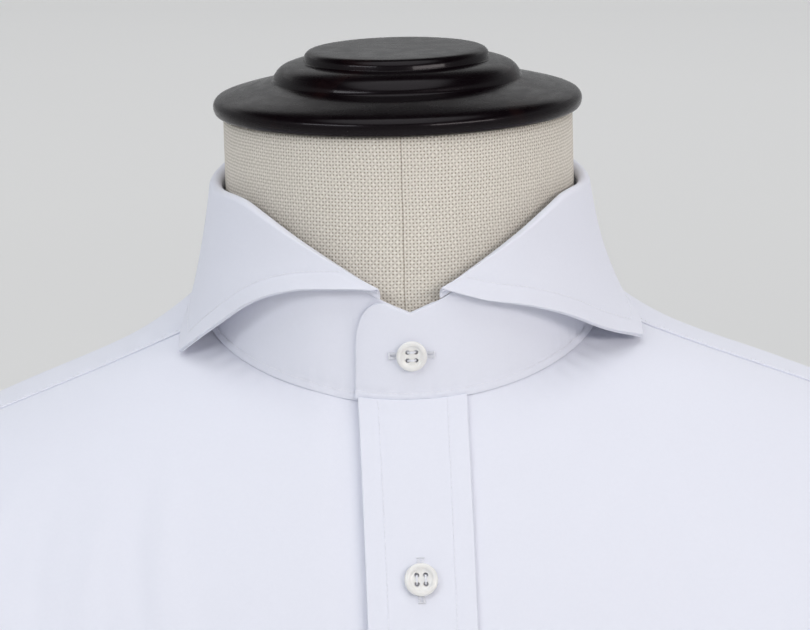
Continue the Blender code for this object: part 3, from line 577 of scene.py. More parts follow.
# The rim of a folded edge: share of the thickness, and how far it stands out in thicknesses
RIM = [(0.10, 0.16), (0.30, 0.22), (0.46, 0.10), (0.50, -0.10), (0.54, 0.10), (0.70, 0.22), (0.90, 0.16)]
LEAF_RIM = [
    (0.07, 0.15), (0.24, 0.22), (0.37, 0.20), (0.43, -0.20),
    (0.52, -0.20), (0.58, 0.20), (0.80, 0.22), (0.94, 0.14),
]


def boundary(rows, columns, closed):
    """Loops of grid places round the sheet's edges, with the places just inside them."""
    if closed:
        around = [(0, c) for c in range(columns)]
        below = [(rows - 1, c) for c in range(columns)][::-1]
        return [(around, [(1, c) for _, c in around]), (below, [(rows - 2, c) for _, c in below])]
    top = [(0, c) for c in range(columns - 1)]
    end = [(r, columns - 1) for r in range(rows - 1)]
    bottom = [(rows - 1, c) for c in range(columns - 1, 0, -1)]
    start = [(r, 0) for r in range(rows - 1, 0, -1)]
    loop = top + end + bottom + start
    inside = [(min(max(r, 1), rows - 2), min(max(c, 1), columns - 2)) for r, c in loop]
    return [(loop, inside)]


def sheet_mesh(name, points, thick=CLOTH, closed=False, rim=RIM, lip=None):
    """A wall of cloth: the given grid outside, an even wall and a rounded rim at its edges."""
    rows, columns = points.shape[:2]
    normals = grid_normals(points, closed)
    inner = points - normals * thick
    count = rows * columns
    places = np.arange(count).reshape(rows, columns)
    right = np.roll(places, -1, axis=1) if closed else places[:, 1:]
    left = places if closed else places[:, :-1]
    outer_faces = np.stack((left[:-1], left[1:], right[1:], right[:-1]), -1).reshape(-1, 4)
    faces = [outer_faces, outer_faces[:, ::-1] + count]
    vertices = [points.reshape(-1, 3), inner.reshape(-1, 3)]
    grain = joined(run_along(points, 1), run_along(points, 0)).reshape(-1, 2)
    grains = [grain, grain]
    total = 2 * count
    for loop, inside in boundary(rows, columns, closed):
        at = np.array([places[p] for p in loop])
        within = np.array([places[p] for p in inside])
        edge = points.reshape(-1, 3)[at]
        out = unit(edge - points.reshape(-1, 3)[within])
        facing = normals.reshape(-1, 3)[at]
        size = len(at)
        rings = [at]
        extra = np.zeros(size) if lip is None else lip.reshape(-1)[at]
        for share, stand in rim:
            stands = stand * thick + extra * smooth((share - 0.5) / 0.1)
            vertices.append(edge - facing * (share * thick) + out * stands[:, None])
            grains.append(grain[at])
            rings.append(np.arange(total, total + size))
            total += size
        rings.append(at + count)
        for upper, lower in zip(rings, rings[1:]):
            faces.append(np.stack((upper, np.roll(upper, -1), np.roll(lower, -1), lower), -1))
    mesh = bpy.data.meshes.new(name)
    mesh.from_pydata(np.concatenate(vertices).tolist(), [], np.concatenate(faces).tolist())
    layer = mesh.uv_layers.new(name="grain")
    corners = np.zeros(len(mesh.loops), int)
    mesh.loops.foreach_get("vertex_index", corners)
    layer.data.foreach_set("uv", np.concatenate(grains)[corners].ravel())
    return mesh


def place(name, mesh, material, slot, *nodes):
    """A piece of the object that rides on its body and stands for its solids."""
    made = bpy.data.objects.new(name, mesh)
    bpy.context.scene.collection.objects.link(made)
    if material is not None:
        mesh.materials.clear()
        mesh.materials.append(material)
    mesh.shade_smooth()
    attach(made, "root")
    if nodes:
        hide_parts(*nodes)
    return made


def cloth(name, node, points, closed=False, thick=CLOTH, rim=RIM, lip=None):
    """A piece of the shirt's cloth that stands for a solid."""
    mesh = sheet_mesh(name, points, thick, closed, rim, lip)
    return place(name, mesh, COTTON, "shirt_cotton", node)


def thread_piece(name, centre, side, up, size):
    """One piece of short square threads, each through a row of four points."""
    corners = np.radians((45, 135, 225, 315))[:, None]
    ring = side[..., None, :] * np.cos(corners) + up[..., None, :] * np.sin(corners)
    points = centre[:, :, None] + ring * size
    index = np.arange(len(centre) * 16).reshape(-1, 4, 4)
    here = index[:, :-1]
    there = index[:, 1:]
    walls = np.stack((here, np.roll(here, -1, 2), np.roll(there, -1, 2), there), -1).reshape(-1, 4)
    faces = np.concatenate((walls, index[:, 0, ::-1], index[:, -1]))
    mesh = bpy.data.meshes.new(name)
    mesh.from_pydata(points.reshape(-1, 3).tolist(), [], faces.tolist())
    mend_faces(place(name, mesh, THREAD_COTTON, "shirt_cotton"))


def stitches(name, path, normals):
    """A line of sewing: short threads that dip into the cloth at both ends."""
    steps = np.linalg.norm(np.diff(path, axis=0), axis=1)
    run = np.concatenate(((0.0,), np.cumsum(steps)))
    count = max(2, int(run[-1] / STITCH))
    starts = np.arange(count) * run[-1] / count + STITCH_GAP / 2
    length = run[-1] / count - STITCH_GAP
    shares = np.array((0.0, 0.22, 0.78, 1.0))
    lifts = np.array((-0.5, 0.75, 0.75, -0.5)) * THREAD
    sizes = np.array((0.5, 1.0, 1.0, 0.5)) * THREAD
    at = starts[:, None] + length * shares
    centre = np.stack([np.interp(at, run, path[:, k]) for k in range(3)], -1)
    up = unit(np.stack([np.interp(at, run, normals[:, k]) for k in range(3)], -1))
    ahead = unit(centre[:, -1:] - centre[:, :1])
    side = unit(np.cross(np.broadcast_to(ahead, up.shape), up))
    tilt = RANDOM.uniform(-0.09, 0.09, (count, 1)) * length * (shares - 0.5)
    centre = centre + up * lifts[:, None] + side * tilt[..., None]
    thread_piece(name, centre, side, up, sizes[:, None, None])


def mend_faces(made):
    """Turn every face of a closed mesh outward."""
    shape = bmesh.new()
    shape.from_mesh(made.data)
    bmesh.ops.recalc_face_normals(shape, faces=shape.faces)
    shape.to_mesh(made.data)
    shape.free()


def pull_in(points, sides, gap=0.00031, reach=0.004):
    """Draw the named sides of a grid in, so that the rims of two pieces don't touch at a seam."""
    for side in sides:
        away, _ = edge_distance(points, side)
        axis = 0 if side in ("top", "bottom") else 1
        inward = unit(np.gradient(points, axis=axis)) * (1 if side in ("top", "start") else -1)
        points = points + inward * (gap * np.clip(1 - away / reach, 0, 1))[..., None]
    return points


# How far the pieces are drawn back along the neckline and along the body's seams, where their rims meet
NECK_EASE = 0.00002
SEAM_EASE = 0.00008


def side_path():
    """Angle and ring number down a front's side: yoke seam, armhole, side seam."""
    upper = spaced(70, 0.2, 1) * armhole(FRONT_CORNER)[1]
    angles, numbers = armhole(FRONT_CORNER + (180 - FRONT_CORNER) * spaced(54)[1:])
    lower = ARMPIT + (HEM - ARMPIT) * spaced(84, 1, 0.3)[1:]
    ends = np.concatenate((yoke_front_angle(upper), angles, np.full(len(lower), 90.0)))
    return ends, np.concatenate((upper, numbers, lower))


def under_lap(beyond):
    """How far down the under layer still is, by its distance beyond the upper layer's edge."""
    return 1 - smooth((beyond - 0.0020) / 0.0150)


def make_front(name, side):
    """One front. Side is 1 for the wearer's left, which lies on top, or -1 for the right."""
    ends, numbers = side_path()
    shares = spaced(84, 1, 0.18)[1:]
    start = angle_at_x(OVERLAP, numbers)
    near = angle_at_x(np.linspace(-OVERLAP, OVERLAP, 9), numbers[:, None])
    angles = np.concatenate((near, start[:, None] + (ends - start)[:, None] * shares), axis=1)
    if side > 0:
        points = body(angles, numbers[:, None])
    else:
        beyond = np.radians(angles - start[:, None]) * (OVERLAP / np.sin(np.radians(start)))[:, None]
        points = body(-angles, numbers[:, None], -(CLOTH + LAYER_GAP) * under_lap(beyond))
    points = pull_in(pull_in(points, ("top",), NECK_EASE), ("end",), SEAM_EASE)
    normals = grid_normals(points) * side
    for seam in FRONT_SEAMS:
        points = puckered(points, normals, seam.side, seam.pull, seam.pitch, seam.seed + side)
    points = hemmed(points, normals)
    if side < 0:
        points = points[:, ::-1]
    cloth(name + "_shell", name, points)
    return points


def seam_pull(away, run, depth, pitch, seed, reach=0.008):
    """The puckers that a seam draws in the cloth beside it."""
    return depth * waver(run, pitch, seed) * np.exp(-((away / reach) ** 2)) * smooth(away / 0.0015)


def seam_ridge(away, height=0.00040, width=0.0022):
    """The thicker band of a felled seam beside its edge."""
    return height * (1 - smooth((away - width) / 0.0009))


def stitch_channel(away, at, depth=0.00014, width=0.0007):
    """The shallow channel that a line of stitches pulls."""
    return -depth * np.exp(-(((away - at) / width) ** 2))


def puckered(points, normals, side, depth, pitch, seed):
    """A grid with the puckers of a seam along one side."""
    away, run = edge_distance(points, side)
    return points + normals * seam_pull(away, run, depth, pitch, seed)[..., None]


def hemmed(points, normals):
    """A grid with the turned-up hem's thickness and the channel of its stitches at the bottom."""
    away, _ = edge_distance(points, "bottom")
    rise = seam_ridge(away, 0.00030, HEM_STITCH + 0.0006) + stitch_channel(away, HEM_STITCH)
    return points + normals * rise[..., None]


def stitch_line(points, side, at, part=slice(None)):
    """The line on a grid at a distance from one side, and its normals."""
    normals = grid_normals(points)
    away, _ = edge_distance(points, side)
    if side in ("top", "bottom"):
        points = points.swapaxes(0, 1)
        normals = normals.swapaxes(0, 1)
        away = away.T
    if side in ("bottom", "end"):
        points = points[:, ::-1]
        normals = normals[:, ::-1]
        away = away[:, ::-1]
    points = points[part]
    normals = normals[part]
    away = away[part]
    path = [[np.interp(at, gaps, line[:, k]) for k in range(3)] for gaps, line in zip(away, points)]
    facing = [[np.interp(at, gaps, line[:, k]) for k in range(3)] for gaps, line in zip(away, normals)]
    return np.array(path), unit(np.array(facing))


def sew(name, points, sides, at, part=slice(None)):
    """A line of stitches inside each named side of a grid."""
    for side in sides:
        stitches(name + side, *stitch_line(points, side, at, part))


def nearest_side(points, sides):
    """Each point's distance from the nearest of the named sides."""
    return np.min([edge_distance(points, side)[0] for side in sides], axis=0)


def make_placket():
    """The strip down the left front, with a line of stitches inside each edge."""
    _, numbers = side_path()
    columns = OVERLAP * (2 * spaced(32, 0.3, 0.3) - 1)
    angles = angle_at_x(columns, numbers[:, None])
    points = pull_in(body(angles, numbers[:, None], CLOTH + SEAM_GAP), ("top",), NECK_EASE)
    normals = grid_normals(points)
    for side, seed in (("start", 0.4), ("end", 1.9)):
        away, run = edge_distance(points, side)
        lift = stitch_channel(away, PLACKET_STITCH) + seam_ridge(away, 0.00012, PLACKET_STITCH - 0.001)
        lift += 0.5 * seam_pull(np.abs(away - PLACKET_STITCH), run, 0.00018, 0.0095, seed, 0.004)
        points = points + normals * lift[..., None]
    cloth("front_placket_shell", "front_placket", points)
    sew("placket_stitches_", points, ("start", "end"), PLACKET_STITCH)


def yoke_columns():
    """Angles across the yoke from one front seam round the back, and each column's last ring."""
    tops, lasts = armhole(FRONT_CORNER + (BACK_CORNER - FRONT_CORNER) * spaced(44, 0.12, 1))
    middle = tops[-1] + (180 - tops[-1]) * spaced(56)[1:]
    half = np.concatenate((tops, middle))
    ends = np.concatenate((lasts, yoke_seam_number(middle)))
    return np.concatenate((half, 360 - half[-2::-1])), np.concatenate((ends, ends[-2::-1]))


def make_yoke():
    """The yoke, from the neckline to the armholes and the back's seam."""
    angles, lasts = yoke_columns()
    shares = spaced(72, 0.2, 0.25)[:, None]
    edge = yoke_front_angle(shares * armhole(FRONT_CORNER)[1]) - angles[0]
    fade = 1 - smooth((np.minimum(angles, 360 - angles) - angles[0]) / 60.0)
    shift = edge * fade * np.where(angles < 180, 1, -1)
    points = body(angles + shift, shares * lasts)
    points = pull_in(pull_in(points, ("top",), NECK_EASE), ("bottom", "start", "end"), SEAM_EASE)
    normals = grid_normals(points)
    for seam in YOKE_SEAMS:
        away, run = edge_distance(points, seam.side)
        pull = seam_pull(away, run, seam.pull, seam.pitch, seam.seed, seam.reach)
        lift = seam_ridge(away, seam.ridge) + pull
        lift += stitch_channel(away, SEAM_STITCH, YOKE_CHANNEL) * (seam.ridge > 0)
        points = points + normals * lift[..., None]
    cloth("yoke_shell", "yoke", points)
    sew("yoke_stitches_", points, ("bottom", "start", "end"), SEAM_STITCH)


def make_back():
    """The back, from the yoke's seam to the tail."""
    corner_angle, corner_number = armhole(BACK_CORNER)
    angles = corner_angle + (360 - 2 * corner_angle) * spaced(140, 0.3, 0.3)
    seam = yoke_seam_number(np.minimum(angles, 360 - angles))
    edge, numbers = armhole(BACK_CORNER + (-180 - BACK_CORNER) * spaced(52, 0.2, 1))
    lower = ARMPIT + (HEM - ARMPIT) * spaced(84, 1, 0.3)[1:]
    edge = np.concatenate((edge, np.full(len(lower), 90.0)))[:, None]
    numbers = np.concatenate((numbers, lower))[:, None]
    fade = np.maximum(0.0, 1 - (numbers - corner_number) / (ARMPIT - corner_number))
    share = (angles - corner_angle) / (360 - 2 * corner_angle)
    points = body(edge + (360 - 2 * edge) * share, numbers + (seam - corner_number) * fade)
    points = pull_in(points, ("top", "start", "end"), SEAM_EASE)
    normals = grid_normals(points)
    for seam in BACK_SEAMS:
        points = puckered(points, normals, seam.side, seam.pull, seam.pitch, seam.seed)
    points = hemmed(points, normals)
    cloth("back_shell", "back", points)
    stitches("hem_stitches_back", *stitch_line(points, "bottom", HEM_STITCH))


def fold_line(angle):
    """Radius and height of the collar's fold at an angle either side of the front."""
    line = blend(FOLD_LINE, "angle", np.abs((angle + 180) % 360 - 180))
    return line._replace(z=line.z - COLLAR_LEAN * np.sin(np.radians(angle)))


def around_neck(angle, radius, z):
    """A point at an angle, radius and height about the neck."""
    turn = np.radians(angle)
    return joined(radius * np.sin(turn), BODY_SHIFT - radius * np.cos(turn), z + NECK_HEIGHT)


def band_grid():
    """The stand's rows of points, from its top edge down to the neckline."""
    reach = math.degrees(math.asin(OVERLAP / BAND_FRONT_RADIUS))
    turns = (360 + 2 * reach) * spaced(340, 0.2, 0.2) - reach
    run = np.radians(np.minimum(turns + reach, 360 + reach - turns)) * BAND_RADIUS
    arc = np.sqrt(1 - (1 - np.minimum(1.0, run / BAND_CORNER)) ** 2)
    height = BAND_END_HEIGHT + (1 - BAND_END_HEIGHT) * arc
    beyond = np.radians(360 - reach - turns) * BAND_RADIUS
    hide = -(CLOTH + LAYER_GAP) * under_lap(beyond)
    foot = body_base(turns, 0.0) + body_normal(turns, 0.0) * hide[:, None] + (0.0, 0.0, SEAM_GAP)
    line = fold_line(turns)
    top = around_neck(turns, line.radius - ROLL_HALF + CLOTH, line.z - ROLL_DROP - SEAM_GAP)
    outward = around_neck(turns, 1.0, 0.0) - around_neck(turns, 0.0, 0.0)
    rise = (1 - spaced(40, 0.4, 0.25))[:, None, None] * height[:, None]
    return foot + (top + outward * hide[:, None] - foot) * rise


def make_band():
    """The stand: it starts on top at the wearer's right of centre and ends under itself."""
    points = pull_in(pull_in(band_grid(), ("bottom",), NECK_EASE), ("top",))
    normals = grid_normals(points)
    away, run = edge_distance(points, "bottom")
    lift = seam_ridge(away, 0.00050, NECK_STITCH - 0.0004) + stitch_channel(away, NECK_STITCH, 0.00022)
    lift += seam_pull(away, run, 0.00030, 0.0055, 1.3, 0.006)
    points = points + normals * lift[..., None]
    cloth("collar_band_shell", "collar_band", points)
    stitches("neckline_stitches", *stitch_line(points, "bottom", NECK_STITCH))


def leaf_point(share, down):
    """A point of the leaf. Share runs from 1 at the wearer's left front edge through 0 at the
    centre back to -1. Down is below 0 over the fold and runs to 1 at the outer edge."""
    share, down = np.broadcast_arrays(share, down)
    side = np.where(share < 0, -1.0, 1.0)
    share = np.abs(share)
    angle = 180 + (LEAF_START - 180) * share
    line = fold_line(angle * side)
    turn = math.pi * np.clip(down / -ROLL_START, -1, 0)
    rolled = around_neck(
        angle * side,
        line.radius + ROLL_HALF * np.cos(turn),
        line.z + ROLL_HEIGHT * (np.abs(np.sin(turn)) - 1),
    )
    lifts = blend(LEAF_LIFTS, "down", down)
    lift = np.where(side > 0, lifts.left, lifts.right)
    lift = lift * np.clip((share - LIFT_START) / (1 - LIFT_START), 0, None) ** 2
    rolled[..., 2] += lift * smooth((down - ROLL_START / 2) / (-ROLL_START / 2))
    leg = np.clip((ROLL_START - down) / (ROLL_START - LEG_FOOT), 0, 1)[..., None]
    rolled = rolled - leg * (0.0, 0.0, ROLL_DROP - ROLL_HEIGHT)
    edge = blend(LEAF_EDGE, "share", share)
    bulge = blend(LEAF_BULGE, "share", share)
    radius = line.radius + ROLL_HALF
    level = line.z - ROLL_HEIGHT
    start = around_neck(angle * side, radius, level)
    end = around_neck(edge.angle * side, edge.radius, edge.z)
    end[..., 0] += edge.shift
    middle = around_neck(
        (angle + (edge.angle - angle) * bulge.down) * side,
        radius + (edge.radius - radius) * bulge.down * LEAF_SPREAD + bulge.out,
        level + (edge.z - level) * bulge.down,
    )
    t = np.clip(down, 0, 1)[..., None]
    hanging = start * (1 - t) ** 2 + middle * 2 * t * (1 - t) + end * t ** 2
    hanging[..., 2] += lift
    return np.where(down[..., None] <= 0, rolled, hanging)


def near_line(points, line, limit):
    """Each point's distance from a line of points, up to a limit."""
    away = np.full(points.shape[:-1], limit)
    close = ((points > line.min(0) - limit) & (points < line.max(0) + limit)).all(-1)
    chosen = points[close]
    starts = line[:-1]
    steps = line[1:] - line[:-1]
    best = np.full(len(chosen), limit)
    for start, step in zip(starts, steps):
        share = np.clip(((chosen - start) @ step) / (step @ step), 0, 1)
        best = np.minimum(best, np.linalg.norm(chosen - start - share[:, None] * step, axis=1))
    away[close] = best
    return away


def crossing(values, level, *lines):
    """Where a run of values first rises through a level, read off along other lines too."""
    at = int(np.argmax(values >= level))
    share = (level - values[at - 1]) / (values[at] - values[at - 1])
    return [line[at - 1] + (line[at] - line[at - 1]) * share for line in lines]


def make_leaf():
    """The cutaway leaf: one piece, folded over the band all round."""
    half = 1 - spaced(148, 0.16, 1)
    shares = np.concatenate((half, -half[-2::-1]))
    downs = np.concatenate((
        np.linspace(LEG_FOOT, ROLL_START, 4)[:-1],
        np.linspace(ROLL_START, 0, 15)[:-1],
        spaced(60, 0.5, 0.18),
    ))
    points = pull_in(leaf_point(shares, downs[:, None]), ("top",), 0.00030, 0.002)
    hanging = int(np.argmax(downs >= 0))
    normals = grid_normals(points)
    left, right, below = (
        near_line(points, line, EDGE_REACH)
        for line in (points[hanging:, 0], points[hanging:, -1], points[-1])
    )
    _, run = edge_distance(points, "bottom")
    away = np.minimum(np.minimum(left, right), below)
    lift = seam_ridge(away, 0.00014, TOPSTITCH - 0.0012) + stitch_channel(away, TOPSTITCH, 0.00015)
    lift += seam_pull(np.abs(below - TOPSTITCH), run, 0.00010, 0.0085, 0.7, 0.004)
    lift *= smooth((downs - 0.02) / 0.05)[:, None]
    points = points + normals * lift[..., None]
    lip = np.zeros(points.shape[:2])
    lip_size = LIP * smooth((downs - LIP_START) / 0.02)
    lip[:, 0] = lip_size
    lip[:, -1] = lip_size
    cloth("collar_leaf_shell", "collar_leaf", points, rim=LEAF_RIM, lip=lip)
    normals = grid_normals(points)
    stitch_leaf(points[hanging:], normals[hanging:], left[hanging:], right[hanging:], below[hanging:])


def stitch_leaf(points, normals, left, right, below):
    """The leaf's topstitching, down one front edge, along the outer edge and up the other."""
    half = points.shape[1] // 2
    inside = [r for r in range(1, len(points)) if below[r, :].max() >= TOPSTITCH]
    first = [(row, slice(None, half)) for row in inside]
    middle = [(slice(None, None, -1), column) for column in range(points.shape[1])]
    last = [(row, slice(None, half, -1)) for row in inside[::-1]]
    sides = np.minimum(left, right)
    path = []
    for lines, away, other in ((first, left, below), (middle, below, sides), (last, right, below)):
        for line in lines:
            at, facing, gap = crossing(
                away[line], TOPSTITCH, points[line], normals[line], other[line]
            )
            if gap > TOPSTITCH:
                path.append((at, facing))
    places, facings = (np.array(column) for column in zip(*path))
    stitches("leaf_topstitch", places, unit(facings))


def tube_point(ring, turn, level, out=0.0, dent=0.0):
    """A point on a sleeve's oval ring, at a level above the floor."""
    angle = np.radians(turn)
    x = ring.x + (ring.half_thick + dent + out) * np.cos(angle)
    y = ring.y - (ring.half_depth + out) * np.sin(angle)
    return joined(x, y + BODY_SHIFT, level)


def sleeve_hanging(turn, z, out=0.0):
    """A point of the hanging sleeve: turn is 0 on the outer face and 90 at the front."""
    turn, z = np.broadcast_arrays(np.asarray(turn, float), np.asarray(z, float))
    ring = blend(SLEEVE_RINGS, "z", z)
    dent = np.zeros(turn.shape)
    for bend in SLEEVE_BENDS:
        away = np.minimum(np.abs((turn - bend.angle + 180) % 360 - 180) / bend.half_width, 1)
        far = np.minimum(np.abs(z - bend.z) / bend.half_height, 1)
        dent += bend.depth * np.cos(away * math.pi / 2) ** 2 * np.cos(far * math.pi / 2) ** 2
    return tube_point(ring, turn, z + NECK_HEIGHT, out, dent)


def sleeve_head(turn, share):
    """A point of the sleeve's head: share is 0 at the armhole and 1 where it hangs."""
    start = body_base(*armhole(turn))
    landing = sleeve_hanging(turn, SLEEVE_RINGS[0].z)
    top = (0.5 + 0.5 * np.cos(np.radians(turn)))[..., None]
    away = unit(SLEEVE_LEAVES_SIDE + (SLEEVE_LEAVES_TOP - SLEEVE_LEAVES_SIDE) * top ** 2)
    length = np.linalg.norm(landing - start, axis=-1, keepdims=True)
    leave = start + away * length * (SLEEVE_LEAVE + SLEEVE_LEAVE_TOP * top)
    arrive = landing + length * (0.0, 0.0, SLEEVE_ARRIVE)
    share = np.asarray(share)[..., None]
    return (start * (1 - share) ** 3 + leave * 3 * share * (1 - share) ** 2
            + arrive * 3 * share ** 2 * (1 - share) + landing * share ** 3)


def on_sleeve(turn, z):
    """A point of the plain sleeve at a height, by its head's rows above the armpit."""
    turn, z = np.broadcast_arrays(np.asarray(turn, float), np.asarray(z, float))
    wrapped = (turn + 180) % 360 - 180
    share = np.linspace(0, 1, 40)
    heads = sleeve_head(wrapped[..., None] + 0 * share, share + 0 * wrapped[..., None])
    flat = heads.reshape(-1, 40, 3)
    high = np.maximum(z, SLEEVE_RINGS[0].z).ravel() + NECK_HEIGHT
    found = [
        [np.interp(level, line[::-1, 2], line[::-1, k]) for k in range(3)]
        for level, line in zip(high, flat)
    ]
    upper = np.array(found).reshape(*turn.shape, 3)
    return np.where((z > SLEEVE_RINGS[0].z)[..., None], upper, sleeve_hanging(wrapped, z))


def sleeve_points():
    """Rows of points of the wearer's left sleeve, from the armhole down, with its creases."""
    turns = np.linspace(180, -180, 145)[:-1]
    shares = spaced(36, 0.15, 1)
    head = sleeve_head(turns + 0 * shares[:, None], shares[:, None] + 0 * turns)
    levels = SLEEVE_RINGS[0].z + (SLEEVE_RINGS[-1].z - SLEEVE_RINGS[0].z) * spaced(92, 1, 0.2)[1:]
    points = np.concatenate((head, sleeve_hanging(turns, levels[:, None])))
    away, run = edge_distance(points, "top")
    normals = grid_normals(points, closed=True)
    lift = crease_depth(points, SLEEVE_CREASES, on_sleeve) * smooth(away / 0.03)
    away_low, run_low = edge_distance(points, "bottom")
    lift *= smooth(away_low / SLEEVE_FADE)
    lift += seam_pull(away, run, 0.00030, 0.0105, 0.6, 0.012)
    lift += seam_pull(away_low, run_low, 0.00035, 0.0075, 1.5, 0.012)
    points = points + normals * lift[..., None]
    return pull_in(points, ("top", "bottom"))


def cuff_point(turn, level, out=0.0):
    """A point of the wearer's left cuff at a turn round it and a level above the floor."""
    return tube_point(SLEEVE_RINGS[-1], turn, level, out)


def cuff_points():
    """Rows of the wearer's left cuff, which laps over itself on its outer face."""
    top = SLEEVE_RINGS[-1].z - SEAM_GAP + NECK_HEIGHT
    turns = CUFF_EDGE + (360 + CUFF_LAP) * (1 - spaced(170, 0.25, 0.25))
    over = (CLOTH + LAYER_GAP) * (1 - smooth((turns - CUFF_EDGE - CUFF_LAP) / 30))
    levels = top - CUFF_HEIGHT * spaced(44, 0.25, 0.25)[:, None]
    points = pull_in(cuff_point(turns, levels, over), ("top",))
    normals = grid_normals(points)
    away = nearest_side(points, ("top", "bottom", "end", "start"))
    lift = seam_ridge(away, 0.00012, TOPSTITCH - 0.0012) + stitch_channel(away, TOPSTITCH)
    return points + normals * lift[..., None]


def placket_points():
    """Rows of the strip over the wearer's left sleeve's opening."""
    turns = FRONT_CORNER + (BACK_CORNER - FRONT_CORNER) * np.linspace(0.6, 1.0, 26)
    levels = spread_levels()
    points = sleeve_hanging(turns, levels[:, None])
    above_cuff = smooth((levels - SLEEVE_PLACKET_FOOT) / SLEEVE_FADE)[:, None]
    creases = crease_depth(points, SLEEVE_CREASES, on_sleeve) * above_cuff
    points = sleeve_hanging(turns, levels[:, None], CLOTH + SEAM_GAP)
    normals = grid_normals(points)
    away = nearest_side(points, ("start", "end"))
    return points + normals * (creases + stitch_channel(away, SEAM_STITCH))[..., None]


def spread_levels():
    """Heights of the sleeve placket's rows."""
    hang = SLEEVE_RINGS[0].z - SLEEVE_RINGS[-2].z
    top = SLEEVE_RINGS[0].z - hang * SLEEVE_OPENING_START
    return top + (SLEEVE_RINGS[-2].z - top) * np.linspace(0, 1, 60)


def mirrored(points):
    """The same grid on the other side, with its faces turned the right way."""
    return points[:, ::-1] * (-1, 1, 1)


def make_sleeves():
    """Both sleeves with their plackets and cuffs."""
    grids = (
        ("sleeve", sleeve_points(), True),
        ("sleeve_placket", placket_points(), False),
        ("cuff", cuff_points(), False),
    )
    for side, turn in (("left", lambda points: points), ("right", mirrored)):
        for piece, points, closed in grids:
            points = turn(points)
            name = piece + "_" + side
            cloth(name + "_shell", name, points, closed)
            if piece == "cuff":
                sew(name + "_stitches_", points, ("top", "bottom"), TOPSTITCH, slice(4, -4))
            if piece == "sleeve_placket":
                sew(name + "_stitches_", points, ("start", "end"), SEAM_STITCH)


def refine(points, count):
    """More rows on a smooth curve down the rows of a grid, which keeps the first and last."""
    run = np.concatenate(((0.0,), np.cumsum(np.linalg.norm(np.diff(points, axis=0), axis=-1).mean(-1))))
    size = points[0].size
    Row = namedtuple("Row", ["run"] + ["v%d" % i for i in range(size)])
    table = [Row(at, *row.ravel()) for at, row in zip(run, points)]
    steps = [np.linspace(a, b, count + 1)[:-1] for a, b in zip(run, run[1:])]
    found = blend(table, "run", np.concatenate(steps + [run[-1:]]))
    return np.stack(found[1:], -1).reshape(-1, *points.shape[1:])


def closed_mesh(name, points):
    """A closed body through rings of points, with a fan over each end."""
    rows, columns = points.shape[:2]
    places = np.arange(rows * columns).reshape(rows, columns)
    after = np.roll(places, -1, axis=1)
    faces = np.stack((places[:-1], places[1:], after[1:], after[:-1]), -1).reshape(-1, 4).tolist()
    vertices = points.reshape(-1, 3).tolist()
    for ring, turn in ((0, 1), (-1, -1)):
        centre = len(vertices)
        vertices.append(points[ring].mean(0).tolist())
        pairs = zip(places[ring], after[ring])
        faces += [[centre, a, b][::turn] for a, b in pairs]
    mesh = bpy.data.meshes.new(name)
    mesh.from_pydata(vertices, [], faces)
    return mesh


def make_form():
    """The torso and neck that carry the shirt, with the seam down the neck's front."""
    angles = np.arange(0, 360, 2.5)
    rows = [around_neck(angles, NECK_RADIUS + out, z) for z, out in FORM_NECK_ROWS]
    inset = around_neck(angles, 0.0, 0.0) - around_neck(angles, FORM_GAPS[0], 0.0)
    rows.append(body_base(angles, 0.0) + inset - (0.0, 0.0, FORM_NECK_DROP))
    for number in FORM_BODY_ROWS:
        gap = np.interp(number, np.arange(len(FORM_GAPS)), FORM_GAPS)
        rows.append(body_base(angles, number) - body_normal(angles, number) * gap)
    rows += [outline_point(ring, angles, FORM_SQUARE, ring.z) for ring in FORM_RINGS]
    points = refine(np.array(rows), 4)
    mesh = closed_mesh("form_body_cover", points)
    mend_faces(place("form_body_cover", mesh, LINEN, "form_linen", "form_body"))


def lathe(name, profile, base, steps=96, detail=4):
    """A turned body from its profile, standing on a height above the floor."""
    rows = np.array([((row.radius, 0.0, row.z),) for row in profile])
    rows = refine(rows, detail)[:, 0]
    turn = np.radians(np.arange(steps) * 360 / steps)
    points = joined(rows[:, :1] * np.cos(turn), rows[:, :1] * np.sin(turn), rows[:, 2:] + 0 * turn)
    rim = rows[:, 0] > 1e-6
    return closed_mesh(name, points[rim] + np.array(base))


def turned(name, node, profile, base, material, slot, steps=96):
    """A turned piece that stands for a solid."""
    mend_faces(place(name, lathe(name, profile, base, steps), material, slot, node))


def make_stand():
    """The neck's cap, the plate under the form, the pole and the base."""
    low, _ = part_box("neck_cap")
    turned("neck_cap_turned", "neck_cap", CAP_PROFILE, (0.0, BODY_SHIFT, low.z), LACQUER, "cap_wood", 160)
    turned("stand_base_turned", "stand_base", BASE_PROFILE, (0.0, 0.0, 0.0), STEEL, "stand_metal", 128)
    low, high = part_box("form_base_plate")
    radius = high.x
    thick = high.z - low.z
    plate = [
        Turned(radius - 0.0016, thick), Turned(radius - 0.0006, thick - 0.0003),
        Turned(radius, thick - 0.0012), Turned(radius, 0.0012),
        Turned(radius - 0.0006, 0.0003), Turned(radius - 0.0016, 0.0),
    ]
    turned("form_base_plate_turned", "form_base_plate", plate, (0.0, 0.0, low.z), STEEL, "stand_metal")
    low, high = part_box("stand_pole")
    pole = [Turned(high.x, high.z - low.z), Turned(high.x, 0.0)]
    turned("stand_pole_turned", "stand_pole", pole, (0.0, 0.0, low.z), STEEL, "stand_metal", 96)


BUTTON_PROFILE = [Turned(*row) for row in (
    (0.0000, 0.0015), (0.0030, 0.0015), (0.0036, 0.0017), (0.0041, 0.0021), (0.0047, 0.0022),
    (0.0053, 0.0020), (0.0056, 0.0014), (0.0055, 0.0008), (0.0049, 0.0003), (0.0040, 0.0000),
)]
HOLE_RADIUS = 0.00085
HOLE_AWAY = 0.00150


